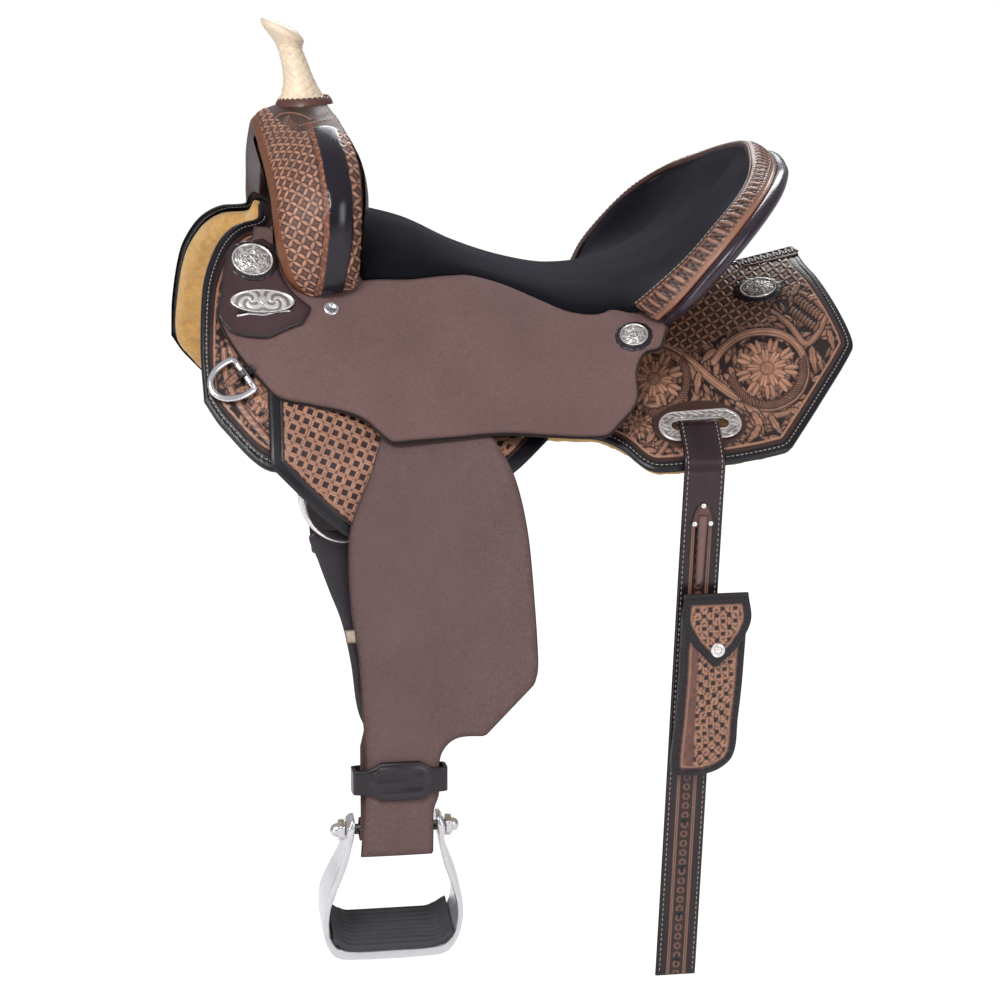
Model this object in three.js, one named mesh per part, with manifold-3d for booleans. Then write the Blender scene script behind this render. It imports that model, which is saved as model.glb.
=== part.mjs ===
// Western barrel-style saddle: wooden tree, layered leather, hanging fenders and stirrups.
// Millimetres, +Z up. The horn points along -Y, the near (mounting) side is +X.
// The origin is on the midline at the flat underside of the seat strainer,
// under the seat's lowest point. Side pieces are drawn near side and mirrored in X.
import * as THREE from 'three';
import { mergeVertices } from 'three/addons/utils/BufferGeometryUtils.js';
import Module from 'manifold-3d';

const wasm = await Module();
wasm.setup();

// ---------------------------------------------------------------- driving dimensions
const SKIRT_T = 4.2;        // skirt leather thickness
const FLEECE_T = 17;        // fleece pile under the skirt
const BAR_T = 11.5;         // tree bar thickness
const SEAT_T = 9;           // padded suede seat
const JOCKEY_T = 4.6;       // side jockey leather
const GAP = 1;              // running gap between leather layers
const GRID_X = 30;          // mesh steps of the draped leather
const GRID_Y = 35;
const SEAT_GRID = 22;       // finer mesh step of the seat and cantle, both ways
const WELD = 1e-4;          // vertices closer than this are merged
const DEGREE = Math.PI / 180;

// ---------------------------------------------------------------- surfaces
// smooth cubic curve through (knots, values), straight beyond both ends
function curve(knots, values, t) {
  const last = knots.length - 1;
  const slopes = [];
  for (let i = 0; i < last; i++) {
    slopes.push((values[i + 1] - values[i]) / (knots[i + 1] - knots[i]));
  }
  const tangents = [slopes[0]];
  for (let i = 1; i < last; i++) {
    const before = knots[i] - knots[i - 1];
    const after = knots[i + 1] - knots[i];
    tangents.push((slopes[i - 1] * after + slopes[i] * before) / (before + after));
  }
  tangents.push(slopes[last - 1]);
  if (t <= knots[0]) return values[0] + tangents[0] * (t - knots[0]);
  if (t >= knots[last]) return values[last] + tangents[last] * (t - knots[last]);
  let i = 0;
  while (t > knots[i + 1]) i++;
  const span = knots[i + 1] - knots[i];
  const s = (t - knots[i]) / span;
  return (1 + 2 * s) * (1 - s) ** 2 * values[i]
    + s * (1 - s) ** 2 * span * tangents[i]
    + s * s * (3 - 2 * s) * values[i + 1]
    + s * s * (s - 1) * span * tangents[i + 1];
}

// Drape over the back and ribs, the skirt's outer face: midline height and side fall along y.
const DRAPE_Y = [-370, -330, -280, -230, -180, -100, 0, 100, 230, 280];
const DRAPE_Z = [168, 140, 108, 78, 48, 11, 0, 10, 36, 48];
const DRAPE_FALL = [.0755, .0673, .0590, .0520, .0455, .0368, .0355, .0370, .0406, .0420];
const drape = (x, y) =>
  curve(DRAPE_Y, DRAPE_Z, y) - curve(DRAPE_Y, DRAPE_FALL, y) * Math.abs(x) ** 1.5;
// x at which the drape reaches height z
const drapeX = (y, z) =>
  (Math.max(curve(DRAPE_Y, DRAPE_Z, y) - z, 0) / curve(DRAPE_Y, DRAPE_FALL, y)) ** (2 / 3);

// Height surface from rows of [y, then z at each COLUMN_X], the same on both sides.
const COLUMN_X = [0, 60, 110, 150, 190, 230, 270];
function heightTable(rows) {
  const ys = rows.map(row => row[0]);
  const columns = COLUMN_X.map((_, i) => rows.map(row => row[i + 1]));
  return (x, y) => curve(COLUMN_X, columns.map(zs => curve(ys, zs, y)), Math.abs(x));
}
// side jockey outer face
const jockeyFace = heightTable([
  [-345, 158, 129, 86, 37, -18, -79, -144],
  [-330, 150, 119, 77, 29, -24, -82, -146],
  [-280, 120, 102, 66, 20, -28, -81, -136],
  [-230, 100, 84, 50, 10, -35, -80, -126],
  [-190, 86, 78, 48, 6, -37, -78, -120],
  [-150, 74, 68, 40, -2, -42, -81, -122],
  [-100, 50, 46, 28, -5, -43, -83, -124],
  [-50, 33, 30, 18, -9, -45, -86, -128],
  [0, 25, 22, 13, -10, -46, -88, -130],
  [40, 27, 24, 14, -6, -38, -84, -128],
  [80, 30, 27, 18, 2, -22, -74, -120],
]);
// seat and cantle dish outer face
const seatFace = heightTable([
  [-230, 100, 84, 50, 10, -35, -80, -126],
  [-190, 86, 78, 48, 6, -37, -78, -120],
  [-150, 74, 68, 40, -2, -42, -81, -122],
  [-100, 50, 46, 28, -5, -43, -83, -124],
  [-50, 33, 30, 18, -9, -45, -86, -128],
  [0, 25, 22, 13, -8, -40, -80, -120],
  [40, 29, 26, 17, 8, 10, 10, 10],
  [60, 34, 31, 24, 24, 38, 50, 60],
  [80, 42, 39, 33, 37, 60, 85, 105],
  [110, 60, 57, 55, 66, 98, 130, 150],
  [140, 88, 89, 96, 110, 135, 160, 180],
  [165, 118, 126, 131, 142, 160, 180, 200],
  [178, 141, 143, 149, 160, 176, 195, 215],
  [205, 190, 190, 194, 202, 215, 232, 250],
]);

const V = (x, y, z) => new THREE.Vector3(x, y, z);
function normalOf(face, x, y) {
  const e = .5;
  const slopeX = (face(x + e, y) - face(x - e, y)) / (2 * e);
  const slopeY = (face(x, y + e) - face(x, y - e)) / (2 * e);
  return V(-slopeX, -slopeY, 1).normalize();
}
const onFace = (face, x, y, offset) =>
  normalOf(face, x, y).multiplyScalar(offset).add(V(x, y, face(x, y)));

// frame matrix: local x along a, local y along b (made square), at origin
function frameAt(origin, a, b) {
  const x = a.clone().normalize();
  const z = a.clone().cross(b).normalize();
  return new THREE.Matrix4().makeBasis(x, z.clone().cross(x), z).setPosition(origin);
}
// frame lying on a face: local x runs aft, local z stands off the face
function faceFrame(face, x, y, offset) {
  const normal = normalOf(face, x, y);
  const aft = V(0, 1, 0).addScaledVector(normal, -normal.y).normalize();
  return frameAt(onFace(face, x, y, offset), aft, normal.clone().cross(aft));
}

// ---------------------------------------------------------------- solids
function welded(geometry) {
  const bare = geometry.clone();
  for (const key of Object.keys(bare.attributes)) {
    if (key !== 'position') bare.deleteAttribute(key);
  }
  return mergeVertices(bare, WELD);
}
function toManifold(geometry) {
  const mesh = welded(geometry);
  return new wasm.Manifold(new wasm.Mesh({
    numProp: 3,
    vertProperties: Float32Array.from(mesh.attributes.position.array),
    triVerts: Uint32Array.from(mesh.index.array),
  }));
}
function indexedGeometry(positions, triangles) {
  const geometry = new THREE.BufferGeometry();
  geometry.setAttribute('position', new THREE.Float32BufferAttribute(positions, 3));
  return geometry.setIndex(triangles);
}
function toGeometry(manifold) {
  const mesh = manifold.getMesh();
  return indexedGeometry(mesh.vertProperties, Array.from(mesh.triVerts));
}
// the largest separate body, without loose scraps of a cut
const mainBody = manifold =>
  toGeometry(manifold.decompose().sort((a, b) => b.volume() - a.volume())[0]);

function reverseWinding(triangles) {
  for (let k = 0; k < triangles.length; k += 3) {
    [triangles[k], triangles[k + 1]] = [triangles[k + 1], triangles[k]];
  }
  return triangles;
}
function flipX(geometry) {
  const triangles = geometry.index
    ? Array.from(geometry.index.array)
    : Array.from({ length: geometry.attributes.position.count }, (_, i) => i);
  return geometry.clone().scale(-1, 1, 1).setIndex(reverseWinding(triangles));
}

// closed slab between offsets inner < outer of a mapped surface pointAt(u, v, offset)
function slab(pointAt, us, vs, inner, outer) {
  const nu = us.length;
  const nv = vs.length;
  const positions = [];
  const triangles = [];
  for (const offset of [inner, outer]) {
    for (const u of us) for (const v of vs) positions.push(...pointAt(u, v, offset).toArray());
  }
  const id = (layer, i, j) => layer * nu * nv + i * nv + j;
  for (let i = 0; i < nu - 1; i++) {
    for (let j = 0; j < nv - 1; j++) {
      const [top, low] = [1, 0].map(layer =>
        [id(layer, i, j), id(layer, i + 1, j), id(layer, i + 1, j + 1), id(layer, i, j + 1)]);
      triangles.push(top[0], top[1], top[2], top[0], top[2], top[3]);
      triangles.push(low[0], low[2], low[1], low[0], low[3], low[2]);
    }
  }
  const wall = (i, j, i2, j2) => {
    const [a, b, c, d] = [id(1, i, j), id(0, i, j), id(0, i2, j2), id(1, i2, j2)];
    triangles.push(a, b, c, a, c, d);
  };
  for (let i = 0; i < nu - 1; i++) {
    wall(i, 0, i + 1, 0);
    wall(i + 1, nv - 1, i, nv - 1);
  }
  for (let j = 0; j < nv - 1; j++) {
    wall(0, j + 1, 0, j);
    wall(nu - 1, j, nu - 1, j + 1);
  }
  return indexedGeometry(positions, triangles);
}
// multiples of step that cover from..to
function gridLines(from, to, step) {
  const values = [];
  for (let v = Math.floor(from / step - .01) * step; v < to + step - .01; v += step) {
    values.push(v);
  }
  return values;
}

// closed body through a list of rings with the same point count
function loft(rings) {
  const count = rings[0].length;
  const last = rings.length - 1;
  const positions = rings.flat().flatMap(p => [p.x, p.y, p.z]);
  const triangles = [];
  for (let i = 0; i < last; i++) {
    for (let j = 0; j < count; j++) {
      const a = i * count + j;
      const b = i * count + (j + 1) % count;
      triangles.push(a, b, b + count, a, b + count, a + count);
    }
  }
  for (const i of [0, last]) {
    const hub = positions.length / 3;
    const centre = rings[i].reduce((sum, p) => sum.add(p), V(0, 0, 0)).multiplyScalar(1 / count);
    positions.push(centre.x, centre.y, centre.z);
    for (let j = 0; j < count; j++) {
      const a = i * count + j;
      const b = i * count + (j + 1) % count;
      if (i === 0) triangles.push(hub, b, a);
      else triangles.push(hub, a, b);
    }
  }
  const geometry = indexedGeometry(positions, triangles);
  // rings may run either way round: turn the faces outward
  if (toManifold(geometry).volume() < 0) geometry.setIndex(reverseWinding(triangles));
  return geometry;
}

const points2 = outline => outline.map(p => new THREE.Vector2(p[0], p[1]));
function extrude(outline, depth, holes = []) {
  const shape = new THREE.Shape(points2(outline));
  for (const hole of holes) shape.holes.push(new THREE.Path(points2(hole)));
  return new THREE.ExtrudeGeometry(shape, { depth, bevelEnabled: false });
}
// outline (y, z) swept along X
const prismX = (outline, x0, x1, holes) => extrude(outline, x1 - x0, holes).applyMatrix4(
  new THREE.Matrix4().set(0, 0, 1, x0, 1, 0, 0, 0, 0, 1, 0, 0, 0, 0, 0, 1));
// outline (x, z) swept along Y
const prismY = (outline, y0, y1) => extrude(outline, y1 - y0).applyMatrix4(
  new THREE.Matrix4().set(1, 0, 0, 0, 0, 0, -1, y1, 0, 1, 0, 0, 0, 0, 0, 1));
// plan outline (x, y) swept far above and below the saddle
const REACH_Z = 900;
const prismZ = outline => extrude(outline, 2 * REACH_Z).translate(0, 0, -REACH_Z);

// leather piece: a face thickened between two offsets and cut by a plan outline (x, y)
function piece(face, outline, inner, outer, stepX = GRID_X, stepY = GRID_Y) {
  const margin = 25;
  const span = (axis, step) => {
    const values = outline.map(p => p[axis]);
    return gridLines(Math.min(...values) - margin, Math.max(...values) + margin, step);
  };
  const sheet = slab((x, y, offset) => onFace(face, x, y, offset),
    span(0, stepX), span(1, stepY), inner, outer);
  return mainBody(toManifold(sheet).intersect(toManifold(prismZ(outline))));
}
const seatPiece = (outline, inner, outer) =>
  piece(seatFace, mirrored(outline), inner, outer, SEAT_GRID, SEAT_GRID);

// near half outline closed by its mirror image; points on the midline are not repeated
function mirrored(half) {
  const offMidline = half.filter(p => Math.abs(p[0]) > .01);
  return half.concat(offMidline.reverse().map(p => [-p[0], p[1]]));
}
const shifted = (outline, a, b) => outline.map(p => [p[0] + a, p[1] + b]);
const ellipse = (rx, ry, count) => Array.from({ length: count }, (_, i) => {
  const angle = 2 * Math.PI * i / count;
  return [rx * Math.cos(angle), ry * Math.sin(angle)];
});
const rectangle = (a0, a1, b0, b1) => [[a0, b0], [a1, b0], [a1, b1], [a0, b1]];

// ---------------------------------------------------------------- materials and the group
const saddle = new THREE.Group();
saddle.name = 'western_saddle';
const FINISH = {
  tooled: { color: 0x9a5a2a, roughness: .6 },
  rough: { color: 0x6b4630, roughness: .9 },
  dark: { color: 0x2e1a12, roughness: .5 },
  black: { color: 0x14110f, roughness: .45 },
  suede: { color: 0x17161a, roughness: .95 },
  fleece: { color: 0xd9a860, roughness: 1 },
  wood: { color: 0xb98f5c, roughness: .8 },
  steel: { color: 0xc9cacc, roughness: .28, metalness: 1 },
  silver: { color: 0xd8d6cf, roughness: .3, metalness: 1 },
  raw: { color: 0xd9c7a0, roughness: .55 },
  rubber: { color: 0x151515, roughness: .85 },
  tin: { color: 0x9da1a4, roughness: .45, metalness: 1 },
};
function add(name, geometry, finish) {
  const body = welded(geometry);
  body.computeVertexNormals();
  const mesh = new THREE.Mesh(body, new THREE.MeshStandardMaterial(FINISH[finish]));
  mesh.name = name;
  saddle.add(mesh);
}
function addBoth(name, geometry, finish) {
  add(`${name}_near`, geometry, finish);
  add(`${name}_off`, flipX(geometry), finish);
}

// ---------------------------------------------------------------- near side outlines, (x, y)
const SKIRT = [
  [40, -288], [66, -297], [85, -319], [104, -335], [125, -347], [145, -355], [183, -361],
  [209, -361], [222, -347], [245, -308], [240, -270], [216, -200], [208, -120], [205, -40],
  [207, -4], [217, 15], [234, 31], [240, 45], [239, 106], [235, 163], [231, 171], [198, 205],
  [153, 248], [143, 250], [115, 247], [62, 238], [38, 230], [36, 100], [36, -100],
];
const FLEECE = [
  [45, -284], [68, -292], [88, -315], [106, -330], [127, -342], [147, -350], [183, -356],
  [206, -356], [219, -344], [241, -307], [236, -272], [212, -200], [204, -120], [201, -40],
  [203, -2], [213, 18], [230, 34], [236, 47], [235, 105], [231, 162], [228, 169], [195, 202],
  [151, 244], [143, 246], [115, 243], [62, 234], [42, 226], [40, 100], [40, -100],
];
const JOCKEY = [
  [140, -327], [160, -341], [170, -345], [187, -331], [202, -312], [214, -296], [219, -266],
  [223, -239], [229, -222], [238, -211], [245, -203], [248, -196], [244, -150], [240, -96],
  [240, -5], [232, 9], [217, 29], [196, 33], [185, 43], [186, 56], [170, 44], [140, 30],
  [139, 8], [135, -18], [121.5, -45], [108.5, -74], [105, -104], [111, -125], [122.5, -169],
  [127, -209], [152, -216], [150, -250], [140, -290],
];
const FRONT_PLATE = [
  [100, -288], [119, -300], [140, -332], [152, -340], [174, -340], [186, -333], [191, -301],
  [180, -270], [165, -262], [160, -282], [146, -292], [125, -296],
];
const TREE_BAR = [
  [42, -234], [60, -248], [95, -256], [120, -252], [134, -236], [142, -190], [146, -100],
  [146, 20], [138, 44], [116, 60], [88, 68], [58, 68], [44, 60], [40, 30], [40, -120],
];
// the halves below are closed across the midline
const TREE_CANTLE = [
  [30, 96], [100, 92], [168, 92], [166, 108], [143, 130], [106, 150], [58, 164], [0, 172],
];
const CANTLE_BACK = [
  [20, 128], [110, 118], [160, 104], [164, 110], [141, 131], [104, 151], [56, 165], [0, 173],
];
const GROUND_SEAT = [
  [104, -204], [104, -166], [96, -125], [94, -104], [98, -74], [104, -45], [108, -18],
  [110, 20], [96, 70], [60, 78], [0, 80],
];
const SEAT_SIDE = [
  [125, -208], [121, -169], [109, -125], [103, -104], [107, -74], [120, -45], [133.5, -18],
  [137.5, 8], [138, 24], [145, 34],
];
// cantle roll, (x, y, z): its edge against the seat and its free edge, station for station
const ROLL_RIM = [
  [152, 39, 10], [172, 55, 29], [182, 80, 54], [175, 106, 80], [150, 133, 102],
  [110, 154, 117], [60, 169, 132], [0, 178, 141],
];
const ROLL_EDGE = [
  [165, 60, -6], [188, 74, 14], [200, 103, 51], [190, 132, 81], [155, 162, 106],
  [110, 182, 119], [60, 196, 124], [0, 203, 130],
];

// ---------------------------------------------------------------- tree
addBoth('tree_bar', piece(drape, TREE_BAR, GAP, GAP + BAR_T), 'wood');

// Fork, an arch over the withers, from the middle to the near bar:
// front edge (x, y, z), rear edge (x, y, z), rise above that chord, depth below it
const FORK = [
  [[0, -296, 168], [0, -227, 185], 9, 40],
  [[50, -295, 151], [40, -222, 176], 11, 40],
  [[95, -293, 129], [85, -216, 161], 14, 42],
  [[118, -291, 108], [122, -212, 140], 18, 46],
  [[132, -287, 84], [145, -212, 107], 21, 46],
  [[139, -281, 62], [145, -212, 75], 19, 42],
  [[141, -268, 44], [137, -214, 48], 12, 30],
  [[139, -258, 36], [134, -216, 40], 7, 24],
];
// cross section: place along the chord, share of the rise or of the depth
const FORK_UPPER = [[0, 0], [.12, .62], [.35, 1], [.65, 1], [.88, .62], [1, 0]];
const FORK_LOWER = [[1, .6], [.85, 1], [.15, 1], [0, .6]];
const FORK_CORE_INSET = 4.5;
const FORK_COVER_T = 4.1;

function forkRing(i, grow) {
  const edgeSum = k => V(...FORK[k][0]).add(V(...FORK[k][1]));
  const [frontEdge, rearEdge, rise, depth] = FORK[i];
  const before = edgeSum(Math.max(i - 1, 0));
  const after = edgeSum(Math.min(i + 1, FORK.length - 1));
  if (i === 0) before.x = -after.x;   // the arch runs level across the middle
  const run = after.sub(before).normalize();
  const chord = V(...rearEdge).sub(V(...frontEdge)).normalize();
  const normal = chord.clone().cross(run).normalize();
  // upward near the middle, outward down the side
  if ((i < 3 ? normal.z : normal.x) < 0) normal.negate();
  if (i === 0) normal.x = 0;
  const front = V(...frontEdge).addScaledVector(chord, -grow);
  const rear = V(...rearEdge).addScaledVector(chord, grow);
  const at = (along, lift) => front.clone().lerp(rear, along).addScaledVector(normal, lift);
  return [
    ...FORK_UPPER.map(([along, share]) => at(along, rise * share + grow)),
    ...FORK_LOWER.map(([along, share]) => at(along, -depth * share - grow)),
  ];
}
function forkBody(grow) {
  const near = FORK.map((_, i) => forkRing(i, grow));
  const off = near.slice(1).reverse().map(ring => ring.map(p => V(-p.x, p.y, p.z)));
  return loft([...off, ...near]);
}
function forkCover() {
  // the cover is open at both feet
  const feet = new THREE.BoxGeometry(400, 300, 90).translate(0, -250, 2);
  // a flat round seat for the horn's foot
  const hornSeat = new THREE.CylinderGeometry(25, 25, 60, 24)
    .rotateX(Math.PI / 2).translate(0, -246, 216.2);
  return mainBody(toManifold(forkBody(0))
    .subtract(toManifold(forkBody(-FORK_COVER_T)))
    .subtract(toManifold(feet))
    .subtract(toManifold(hornSeat)));
}
add('tree_fork', forkBody(-FORK_CORE_INSET), 'wood');
add('fork_cover', forkCover(), 'tooled');

const CANTLE_UNDER = -SEAT_T - 15.5;   // the wooden cantle's lower face, from the seat face
add('tree_cantle', seatPiece(TREE_CANTLE, CANTLE_UNDER, -SEAT_T - GAP), 'wood');
add('cantle_back', seatPiece(CANTLE_BACK, CANTLE_UNDER - 4.5, CANTLE_UNDER - .8), 'tooled');

// seat strainer: a tin trough between the bars, flat underneath; section (x, z)
const STRAINER = [
  [-36, 0], [36, 0], [36, 5.6], [34, 5.6], [34, 2], [-34, 2], [-34, 5.6], [-36, 5.6],
];
add('seat_strainer', prismY(STRAINER, -75, 75), 'tin');

const groundSeat = piece(seatFace, mirrored(GROUND_SEAT),
  -SEAT_T - 7.4, -SEAT_T - GAP, GRID_X, 25);
add('ground_seat', groundSeat, 'rough');

const seatRim = ROLL_RIM.map(([x, y]) => [Math.max(x - 1, 0), y]);
add('seat_cover', seatPiece([...SEAT_SIDE, ...seatRim], -SEAT_T, 0), 'suede');

// ---------------------------------------------------------------- cantle roll and binding
// the seat with a running gap around it
const seatRoom = toManifold(seatPiece([
  ...shifted(SEAT_SIDE, 1, 0),
  ...ROLL_RIM.map(([x, y]) => [x ? x + 1 : 0, y + (y < 90 ? -1 : 1)]),
], -SEAT_T - 1, 1.2));
// the mirror image is cut too, since the seat's mesh diagonals are not symmetric
const cutSeatRoom = geometry => mainBody(toManifold(geometry)
  .subtract(seatRoom)
  .subtract(toManifold(flipX(toGeometry(seatRoom)))));

// roll section: share of the way from rim to edge, height off that line
const ROLL_SECTION = [[0, 0], [.35, 5], [.72, 4], [1, 0], [1, -6], [.5, -3.5], [0, -6]];
const ROLL_RIM_GAP = 1.2;
const BINDING = { rx: 5.5, ry: 6.5, beyondEdge: 7, drop: 2.5, segments: 8 };
{
  const fullWidth = half =>
    half.concat(half.slice(0, -1).reverse().map(([x, y, z]) => [-x, y, z]));
  const rims = fullWidth(ROLL_RIM);
  const edges = fullWidth(ROLL_EDGE);
  const rollRings = [];
  const bindingRings = [];
  for (let i = 0; i < rims.length; i++) {
    const rim = V(...rims[i]);
    const edge = V(...edges[i]);
    const across = edge.clone().sub(rim);
    const along = V(...rims[Math.min(i + 1, rims.length - 1)])
      .sub(V(...rims[Math.max(i - 1, 0)])).normalize();
    const normal = across.clone().cross(along).normalize();
    across.normalize();
    rim.addScaledVector(across, ROLL_RIM_GAP);
    rollRings.push(ROLL_SECTION.map(([share, lift]) =>
      rim.clone().lerp(edge, share).addScaledVector(normal, lift)));
    const centre = edge.clone().addScaledVector(across, BINDING.beyondEdge);
    const section = ellipse(BINDING.rx, BINDING.ry, BINDING.segments);
    bindingRings.push(section.map(([out, lift]) => centre.clone()
      .addScaledVector(across, out).addScaledVector(normal, lift - BINDING.drop)));
  }
  add('cantle_roll', cutSeatRoom(loft(rollRings)), 'tooled');
  add('cantle_binding', loft(bindingRings), 'black');
}
add('skirt_lacing', piece(drape, mirrored([[17, 190], [19, 230]]), .9, 3.2, 24, 20), 'black');

// ---------------------------------------------------------------- horn
// stations up the horn: y, z, radius, forward lean of its axis in degrees
const HORN = [
  [-246, 186.5, 24, 0], [-247, 192, 19, 4], [-249, 202, 15.5, 8], [-252, 214, 13.5, 10],
  [-256, 228, 12.6, 13], [-260, 238, 13, 16], [-262.5, 244, 17, 20], [-264, 247, 20, 21],
  [-266, 252, 20.5, 21], [-268, 257, 18.5, 21], [-269, 259.6, 13, 21],
];
const hornBody = (stations, segments) => loft(stations.map(([y, z, radius, lean]) =>
  ellipse(radius, radius, segments).map(([a, b]) =>
    V(a, y + b * Math.cos(lean * DEGREE), z - b * Math.sin(lean * DEGREE)))));
// plain rod up the horn's axis, from footZ to the station before end
const hornRod = (radius, footZ, end) => hornBody([
  [HORN[0][0], footZ, radius, 0],
  ...HORN.slice(1, end).map(([y, z, , lean]) => [y, z, radius, lean]),
], 12);
const hornWrap = toManifold(hornBody(HORN, 18)).subtract(toManifold(hornRod(9, 180, 7)));
add('horn_wrap', mainBody(hornWrap), 'raw');
add('horn_post', hornRod(8, 187, 6), 'tin');

// ---------------------------------------------------------------- side leathers
const FLEECE_TOP = -SKIRT_T - GAP;
addBoth('skirt', piece(drape, SKIRT, -SKIRT_T, 0), 'tooled');
addBoth('skirt_fleece', piece(drape, FLEECE, FLEECE_TOP - FLEECE_T, FLEECE_TOP), 'fleece');
addBoth('seat_jockey', cutSeatRoom(piece(jockeyFace, JOCKEY, -JOCKEY_T, 0)), 'rough');
addBoth('front_plate', piece(jockeyFace, FRONT_PLATE, GAP, GAP + 3), 'dark');

// rigging leather, (y, z)
const RIGGING = [
  [-304, -54], [-308, -86], [-309, -109], [-307, -115], [-246, -176], [-222, -182],
  [-170, -178], [-120, -148], [-87, -126], [-66, -112], [-72, -109], [-226, -109],
  [-244, -57], [-262, -54],
];
const RIGGING_T = 4;
// outer face: follows the drape above, then blends into a plane at outermost
function riggingX(y, z) {
  const standoff = 8;
  const outermost = 250;
  const blend = 6;
  const draped = drapeX(y, z) + standoff;
  return -blend * Math.log(Math.exp(-draped / blend) + Math.exp(-outermost / blend));
}
function riggingLeather() {
  const sheet = slab((y, z, offset) => V(riggingX(y, z) + offset, y, z),
    gridLines(-345, -25, GRID_Y), gridLines(-215, 0, 18), -RIGGING_T, 0);
  const jockeyRoom = piece(jockeyFace, shifted(JOCKEY, 1, 0), -JOCKEY_T - 1, 1);
  const skirtRoom = piece(drape, shifted(SKIRT, 1.5, 0), -SKIRT_T - 1, .9);
  return mainBody(toManifold(sheet)
    .intersect(toManifold(prismX(RIGGING, 100, 300)))
    .subtract(toManifold(jockeyRoom))
    .subtract(toManifold(skirtRoom)));
}
addBoth('rigging_leather', riggingLeather(), 'tooled');

// rigging dee: a flat D ring with its straight bar on top
const DEE = { y: -240, z: -141, r: 43, rim: 7, bar: 6, x0: 239, x1: 244.5 };
const halfRound = (radius, rise) => Array.from({ length: 15 }, (_, i) => {
  const angle = Math.PI + Math.PI * i / 14;
  return [DEE.y + radius * Math.cos(angle), DEE.z + radius * Math.sin(angle) * 1.06 + rise];
});
addBoth('rigging_dee', prismX(halfRound(DEE.r, 0), DEE.x0, DEE.x1,
  [halfRound(DEE.r - DEE.rim, -DEE.bar)]), 'steel');

// tie strap hanging from the dee's lower rim: front edge down, rear edge up, (y, z)
const TIE = {
  front: [
    [-258, -184], [-250, -206], [-240, -232], [-228, -262], [-226, -300], [-225, -345],
    [-218, -372],
  ],
  rear: [
    [-176, -372], [-178, -345], [-178, -300], [-182, -262], [-192, -232], [-203, -206],
    [-216, -182],
  ],
  fold: [[-259, -186], [-262, -168], [-216, -166], [-215, -184]],
  x0: 229,
  x1: 233,
};
function tieStrap(outline) {
  const [strap, fold] = [outline, TIE.fold].map(o => toManifold(prismX(o, TIE.x0, TIE.x1)));
  return mainBody(strap.add(fold));
}
// the off strap is a short billet that ends above the stirrup
const offTie = [...TIE.front.slice(0, 5), [-225, -306], [-179, -306], ...TIE.rear.slice(2)];
add('tie_strap_near', tieStrap([...TIE.front, ...TIE.rear]), 'dark');
add('tie_strap_off', flipX(tieStrap(offTie)), 'dark');

// ---------------------------------------------------------------- stirrup leathers, fenders
const FENDER_X = 261;               // outer face of the hanging fender
const FENDER_T = 4.6;
const STRAP_T = 4.4;
const STRAP_W = 64;                 // stirrup leather width
const STIRRUP_Y = -199;             // middle of the stirrup and of its leather
const BOLT = { x: 243, z: -452, r: 4.8 };
const PIVOT = { y: -168, z: -20 };  // where the stirrup leather crosses the tree bar
const OFF_SWING = 16;               // degrees the off leather hangs further aft
const OFF_UP = 112;                 // the off leather is buckled this much shorter

const swung = (geometry, up = 0) => flipX(geometry).translate(0, 0, up)
  .translate(0, -PIVOT.y, -PIVOT.z)
  .rotateX(OFF_SWING * DEGREE)
  .translate(0, PIVOT.y, PIVOT.z);
// off: the off side's own geometry, drawn near side; without it the near one is raised
function addHanging(name, geometry, finish, off) {
  add(`${name}_near`, geometry, finish);
  add(`${name}_off`, off ? swung(off) : swung(geometry, OFF_UP), finish);
}

// upper run of the stirrup leather, under the jockey
{
  const outerEdge = [[170, -43], [189, -58.5], [212, -81], [234.5, -102], [245, -110.5]];
  const inset = 3.2 * .7;   // thickness, as a step along x and z on the 45 degree slope
  const section = outerEdge.concat(shifted(outerEdge, -inset, -inset).reverse());
  const run = halfWidth => prismY(section, PIVOT.y - halfWidth, PIVOT.y + halfWidth);
  // the off run slants aft, so it is cut narrower to stay under its jockey
  addHanging('stirrup_leather_top', run(19), 'rough', run(12).translate(0, 0, -1.2));
}

// a strap that hangs behind the fender and closes around the stirrup bolt
function stirrupLeather(up) {
  const x1 = FENDER_X - FENDER_T - .6;
  const top = -118;
  const eyeRadius = 6.4;
  const front = STIRRUP_Y - STRAP_W / 2;
  const rear = STIRRUP_Y + STRAP_W / 2;
  const z = BOLT.z + up;
  const scaled = level => top + (level - top) * (z - top) / (BOLT.z - top);
  const run = prismX([
    [-140, top], [-72, top], [-110, scaled(-250)], [rear, scaled(-380)], [rear, z],
    [front, z], [front, scaled(-380)], [-172, scaled(-250)],
  ], x1 - STRAP_T, x1);
  const rod = (radius, over) => toManifold(
    prismY(shifted(ellipse(radius, radius, 18), BOLT.x, z), front - over, rear + over));
  return mainBody(toManifold(run).add(rod(eyeRadius + STRAP_T, 0)).subtract(rod(eyeRadius, 5)));
}
addHanging('stirrup_leather', stirrupLeather(0), 'rough', stirrupLeather(OFF_UP));

// fender, (y, z)
const FENDER = [
  [-216, -112], [-228, -140], [-238, -165], [-240, -195], [-238, -245], [-232, -290],
  [-229, -345], [-226, -395], [-232, -420], [-233, -474], [-166, -474], [-165.5, -446],
  [-165, -434], [-160, -422], [-160, -384], [-154, -374], [-142, -366], [-118, -366],
  [-72, -318], [-70, -310], [-70, -290], [-73, -245], [-78, -190], [-84, -155], [-92, -125],
  [-98, -112],
];
// the off fender is shortened between z -112 and -290 and raised whole below that
const FENDER_OFF = FENDER.map(([y, z]) => [y, z + OFF_UP * Math.min(1, (-z - 112) / 178)]);
const fender = outline => prismX(outline, FENDER_X - FENDER_T, FENDER_X);
addHanging('fender', fender(FENDER), 'rough', fender(FENDER_OFF));

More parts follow.
